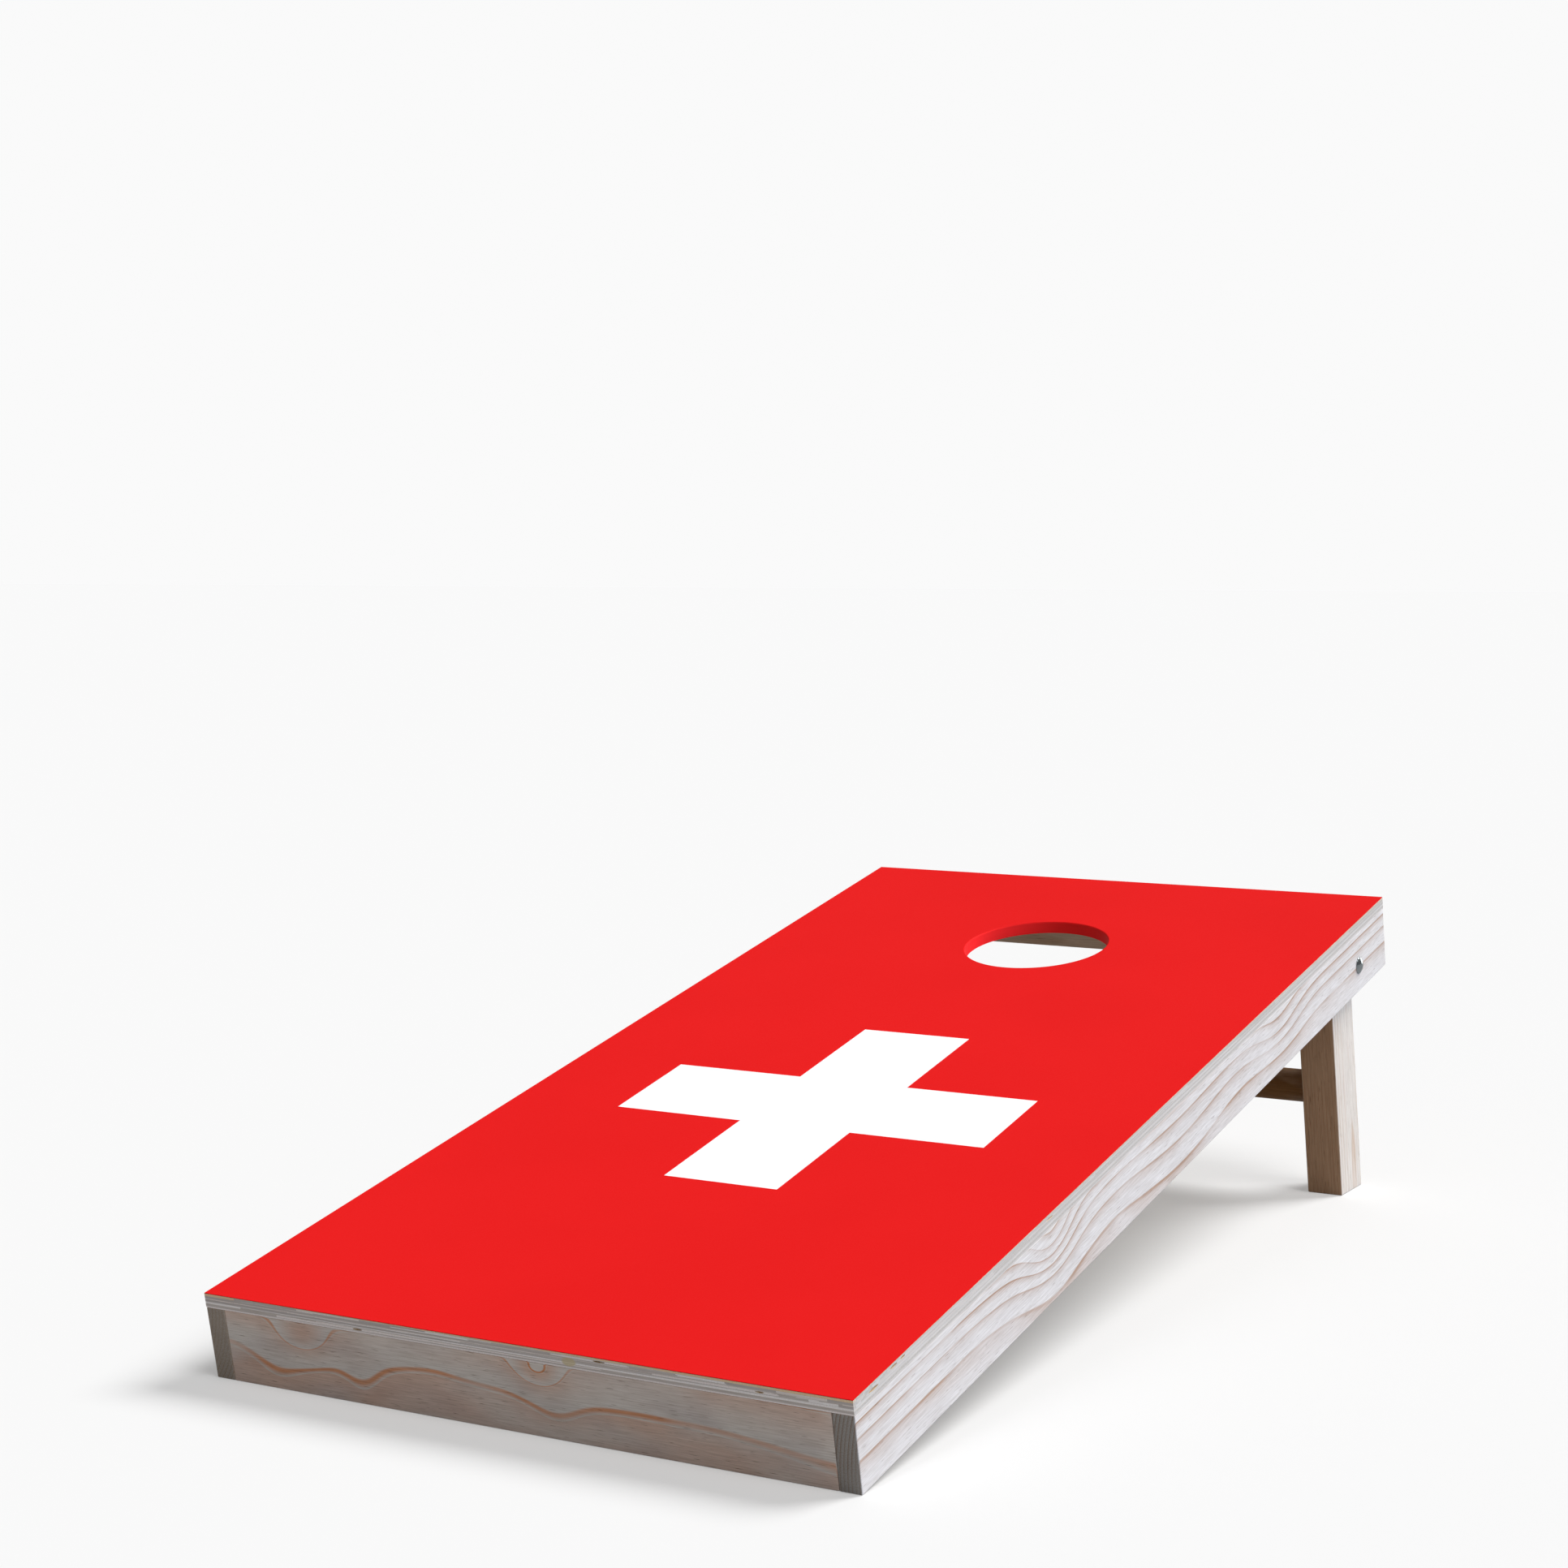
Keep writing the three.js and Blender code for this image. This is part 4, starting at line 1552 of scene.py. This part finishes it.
@dataclass
class PivotHardware:
    """A carriage bolt through each side rail and leg, with a spacer, a washer and a lock nut.

    Attributes:
        steel: The plated steel.
        nylon: The spacers' and lock rings' material.
        legs: The legs that it holds.
        bolt_radius: Radius over the bolt's thread.
        bolt_length: Its length under the head.
        head_radius: The domed head's radius.
        head_height: Its height.
        neck: Width of its square neck.
        thread_from: Where the thread starts.
        thread: The thread's depth.
        pitch: The thread's pitch.
        washer: Outer radius of the washer and spacer.
        washer_thick: The washer's thickness.
    """

    steel: Material
    nylon: Material
    legs: LegPair
    bolt_radius: float = 3.97
    bolt_length: float = 3 * INCH
    head_radius: float = 9.0
    head_height: float = 4.2
    neck: float = 8.2
    thread_from: float = 46.0
    thread: float = 0.55
    pitch: float = INCH / 18
    washer: float = 11.1
    washer_thick: float = 1.65

    def bolt(self) -> Solid:
        """Forges the bolt, its head's underside at the origin.

        Returns:
            The bolt.
        """
        rise, wide, top = self.head_height - 0.9, self.head_radius, -self.head_height
        sphere = (wide**2 + rise**2) / (2 * rise)
        widest = math.asin(wide / sphere)
        rings = [(0, top)]
        for share in (0.12, 0.25, 0.4, 0.55, 0.7, 0.82, 0.92, 0.98):
            angle = widest * share
            rings.append((sphere * math.sin(angle), top + sphere * (1 - math.cos(angle))))
        half, shank, square = self.neck / 2, self.bolt_radius - 0.15, Outline.SQUARE
        start, end = self.thread_from, self.bolt_length - 1.2
        rings += [
            (wide, -0.75),
            (wide, -0.3),
            (wide - 0.3, 0),
            (half, 0.0, square, 5.4),
            (half, 3.9, square, 5.4),
            (half - 0.3, 4.4, square, 4.2),
            (shank, 4.9),
            (shank, start - 0.3),
        ]
        turns = round(4 * (end - start) / self.pitch)
        for i in range(turns + 1):
            height = start + (end - start) * i / turns
            rings.append(Ring(self.bolt_radius, height, thread=self.thread, pitch=self.pitch))
        return skin("bolt", [*rings, (self.bolt_radius - 1.1, self.bolt_length), (0, self.bolt_length)])

    def ring(self, inner: float, outer: float, thick: float, ease: float = 0.25) -> Solid:
        """Makes a flat ring from the origin up, its corners eased.

        Args:
            inner: Its inner radius.
            outer: Its outer radius.
            thick: Its thickness.
            ease: Width taken off each corner.

        Returns:
            The ring.
        """
        up = [(inner, ease), (inner + ease, 0), (outer - ease, 0), (outer, ease)]
        return skin("ring", up + [(radius, thick - height) for radius, height in reversed(up)])

    def nut(self) -> Solid:
        """Makes the lock nut: a chamfered hexagon and a collar crimped over its nylon ring.

        Returns:
            The nut.
        """
        half, collar, flats = 6.35, 6.0, Outline.HEXAGON
        rings = [
            (4.6, 0),
            (half, 0, flats, half),
            (half, 0.55, flats, 6.95),
            (half, 0.9, flats),
            (half, 5.3, flats),
            (half, 5.8, flats, 6.9),
            (half, 6.2, flats, half),
            (collar, 6.4),
            (collar, 8.0),
            (collar - 0.2, 8.5),
            (5.4, 8.7),
            (5.05, 8.6),
            (5.05, 6.25),
            (4.02, 6.25),
            (4.02, 0.5),
        ]
        return skin("nut", rings)

    def build(self) -> None:
        """Seats every piece on both sides, from the head inwards."""
        spacer_at, washer_at = RAIL_THICK + HAIRLINE, BOARD_WIDTH / 2 - self.legs.inner + HAIRLINE
        nut_at = washer_at + self.washer_thick + HAIRLINE
        spacer, washer = self.ring(4.3, self.washer, 1.5), self.ring(4.4, self.washer, self.washer_thick)
        zinc, nylon = (self.steel, "zinc_steel"), (self.nylon, "nylon")
        stacks = (
            ("carriage_bolts", "pivot_bolt", self.bolt(), -HAIRLINE, zinc),
            ("nylon_spacers", "leg_spacer", spacer, spacer_at, nylon),
            ("steel_washers", "pivot_washer", washer, washer_at, zinc),
            ("lock_nuts", "lock_nut", self.nut(), nut_at, zinc),
            ("nylon_lock_rings", "nut_insert", self.ring(3.98, 5.0, 2.1), nut_at + 6.3, nylon),
        )
        for name, node, one, inside, (finish, slot) in stacks:
            seats = []
            for side in Side:
                inward = -side.value * ACROSS
                seats.append(Seat(f"{node}_{side.word}", side.bolt_head + inward * inside, inward))
            seat_hardware(name, one, seats, finish, slot)


@dataclass
class Studio:
    """A pale seamless floor, soft light and the camera.

    Attributes:
        pale: How bright the floor and the backdrop look to the camera.
        floor_tone: The floor's own tone.
        bounce: How much light the floor throws back on the board.
        glow: The share of the floor's look that shadows can't darken, as on paper lit from behind.
        dim: Strength of the light from all round.
        reach: Half the floor's width, in metres.
    """

    pale: float = 0.955
    floor_tone: float = 0.8
    bounce: float = 0.45
    glow: float = 0.3
    dim: float = 0.21
    reach: float = 60.0

    CAMERA_AT = (1.2646, -2.3790, 0.6779)
    CAMERA_TURN = (math.radians(85.532), 0.0, math.radians(29.824))
    LENS = 65.555

    def camera(self) -> None:
        """Stands the camera in front of the board, to its right."""
        data = bpy.data.cameras.new("camera")
        data.lens, data.sensor_width, data.clip_end = self.LENS, 36.0, 500.0
        seen = link("camera", data)
        seen.location, seen.rotation_euler = self.CAMERA_AT, self.CAMERA_TURN
        bpy.context.scene.camera = seen

    def floor(self) -> Solid:
        """Lays the floor, which looks pale but lights the board only a little.

        It can be looked through from below, so that the board's underside can be seen.

        Returns:
            The floor.
        """
        made, tree = surface("seamless_paper")
        seen = add(tree, "LightPath", out="Is Camera Ray")
        tone = add(tree, "MapRange", seen, 0.0, 1.0, self.bounce, self.floor_tone)
        paper = add(tree, "BsdfDiffuse", tone)
        lit = add(tree, "Emission", "#FFFFFF", self.pale)
        share = add(tree, "Math", seen, self.glow, operation="MULTIPLY")
        front = add(tree, "MixShader", share, paper, lit)
        below = add(tree, "NewGeometry", out="Backfacing")
        add(tree, "OutputMaterial", add(tree, "MixShader", below, front, add(tree, "BsdfTransparent")))
        mesh = bpy.data.meshes.new("studio_floor")
        far = self.reach
        mesh.from_pydata([(-far, -far, 0), (far, -far, 0), (far, far, 0), (-far, far, 0)], [], [(0, 1, 2, 3)])
        mesh.materials.append(made)
        laid = link("studio_floor", mesh)
        return laid

    def spare_floor(self, paper: Solid, *lamps: Solid) -> None:
        """Keeps the long streaks of low lamps off the floor.

        Args:
            paper: The floor.
            *lamps: The lamps.
        """
        spared = bpy.data.collections.new("spared_by_low_lamps")
        spared.objects.link(paper)
        spared.collection_objects[0].light_linking.link_state = "EXCLUDE"
        for lamp in lamps:
            lamp.light_linking.receiver_collection = spared

    def backdrop(self) -> None:
        """Fills the air with dim light, and the view behind the board with the floor's own tone."""
        world = bpy.data.worlds.new("studio")
        bpy.context.scene.world = world
        world.use_nodes = True
        tree = world.node_tree
        tree.nodes.clear()
        seen = add(tree, "LightPath", out="Is Camera Ray")
        power = add(tree, "MapRange", seen, 0.0, 1.0, self.dim, self.pale)
        add(tree, "OutputWorld", add(tree, "Background", "#FFFFFF", power))

    def sun(self, name: str, towards: Point, power: float, spread: float, colour: str = "#FFFFFF") -> Solid:
        """Hangs a large soft lamp far away.

        Args:
            name: Its name.
            towards: The way from the board to it.
            power: Its strength.
            spread: How wide it looks from the board, in degrees.
            colour: Its colour.

        Returns:
            The lamp.
        """
        data = bpy.data.lights.new(name, "SUN")
        data.energy, data.angle, data.color = power, math.radians(spread), srgb(colour)[:3]
        lamp = link(name, data)
        lamp.rotation_euler = Vector(towards).to_track_quat("Z", "Y").to_euler()
        return lamp

    def build(self) -> None:
        """Sets the studio up."""
        self.camera()
        paper = self.floor()
        self.backdrop()
        self.sun("front_overhead_lamp", (0.62, -0.3, 1.0), 1.2, 26)
        self.sun("back_overhead_lamp", (0.55, 0.75, 1.0), 2.83, 30)
        rim = self.sun("rim_lamp", (0.35, 0.94, 0.05), 1.0, 30)
        side = self.sun("right_lamp", (0.97, 0.12, 0.08), 2.9, 40, "#B4D2FF")
        side.visible_glossy = False
        self.spare_floor(paper, rim, side)
        bpy.context.scene.view_settings.view_transform = "Standard"


# ------------------------------------------------------------------------------------------------- making


def pine_finishes() -> dict[str, Material]:
    """Makes a pine finish for each length of lumber in the frame.

    Returns:
        The finishes, by the names of the nodes.
    """
    side = PlanedPine(
        "planed_pine_side",
        phase=1.3,
        late_share=0.55,
        drift=0.5,
        early="#D4CDC6",
        stain="#BDB3AC",
        late="#A27A5B",
        fleck="#B6A99E",
        strength=1.0,
        blotch=0.3,
        swirls=(
            Swirl(345, 56, 90, 60, 3),
            Swirl(345, 56, 45, 28, 6),
            Swirl(889, 48, 70, 26, 4),
            Swirl(620, 30, 130, 34, 2.5),
        ),
    )
    front = PlanedPine(
        "planed_pine_front",
        ring=4.2,
        pith=400,
        phase=2.545,
        late_share=0.13,
        drift=0.5,
        early="#E2DCD6",
        stain="#C6BDBB",
        late="#DC905C",
        fleck="#A39184",
        strength=1.0,
        blotch=0.6,
        swirls=(
            Swirl(-290, 40, 30, 40, -0.4),
            Swirl(-235, 25, 30, 40, 0.9),
            Swirl(-205, 52, 26, 18, 5.0),
            Swirl(-150, 25, 22, 40, 0.9),
            Swirl(-80, 38, 38, 60, -0.6),
            Swirl(40, 25, 27, 22, 0.95),
            Swirl(26, 58, 22, 16, 6.0),
            Swirl(300, 20, 90, 60, 1.0),
        ),
    )
    plain = PlanedPine("planed_pine_frame", ring=3.6, pith=90, drift=2.0, late_share=0.3, strength=0.65)
    side, front, plain = side.build(), front.build(), plain.build()
    plainer = dict.fromkeys(("side_rail_left", "centre_brace", "back_rail"), plain)
    return {"side_rail_right": side, "front_rail": front, **plainer}


def main() -> None:
    """Builds the board, piece by piece, in its studio."""
    Studio().build()
    zinc = ZincPlate("bright_zinc_plate").build()
    nylon = MouldedNylon("moulded_nylon").build()
    screws = ScrewSet(zinc)
    screws.plan()
    Frame(pine_finishes(), screws).build()
    Deck(BirchPly("birch_plywood").build(), screws).build()
    screws.build()
    red = MattPrint("matt_laminated_print_red", "#E21A1A", "#E01919", "#FF2A2A")
    white = MattPrint("matt_laminated_print_white", "#F6F6F6", "#F3F3F3")
    Film(red.build(), white.build()).build()
    # D9BAA1 is painted shade on the legs' faces towards the thrower
    leg_pine = PlanedPine(
        "planed_pine_legs", early="#D5CABC", ring=3.4, pith=60, drift=1.6, strength=0.6, heart="#D9BAA1"
    )
    # Brown hardwood, its colour darkened further as painted shade from the deck above the dowel
    dowel = PlanedPine(
        "turned_hardwood_dowel", early="#7C552C", late="#654320", ring=1.6, pith=30, drift=1.0, strength=0.5
    )
    legs = LegPair(leg_pine.build(), dowel.build())
    legs.build()
    PivotHardware(zinc, nylon, legs).build()


if __name__ == "__main__":
    logging.basicConfig(level=logging.INFO, format="%(name)s: %(message)s")
    main()
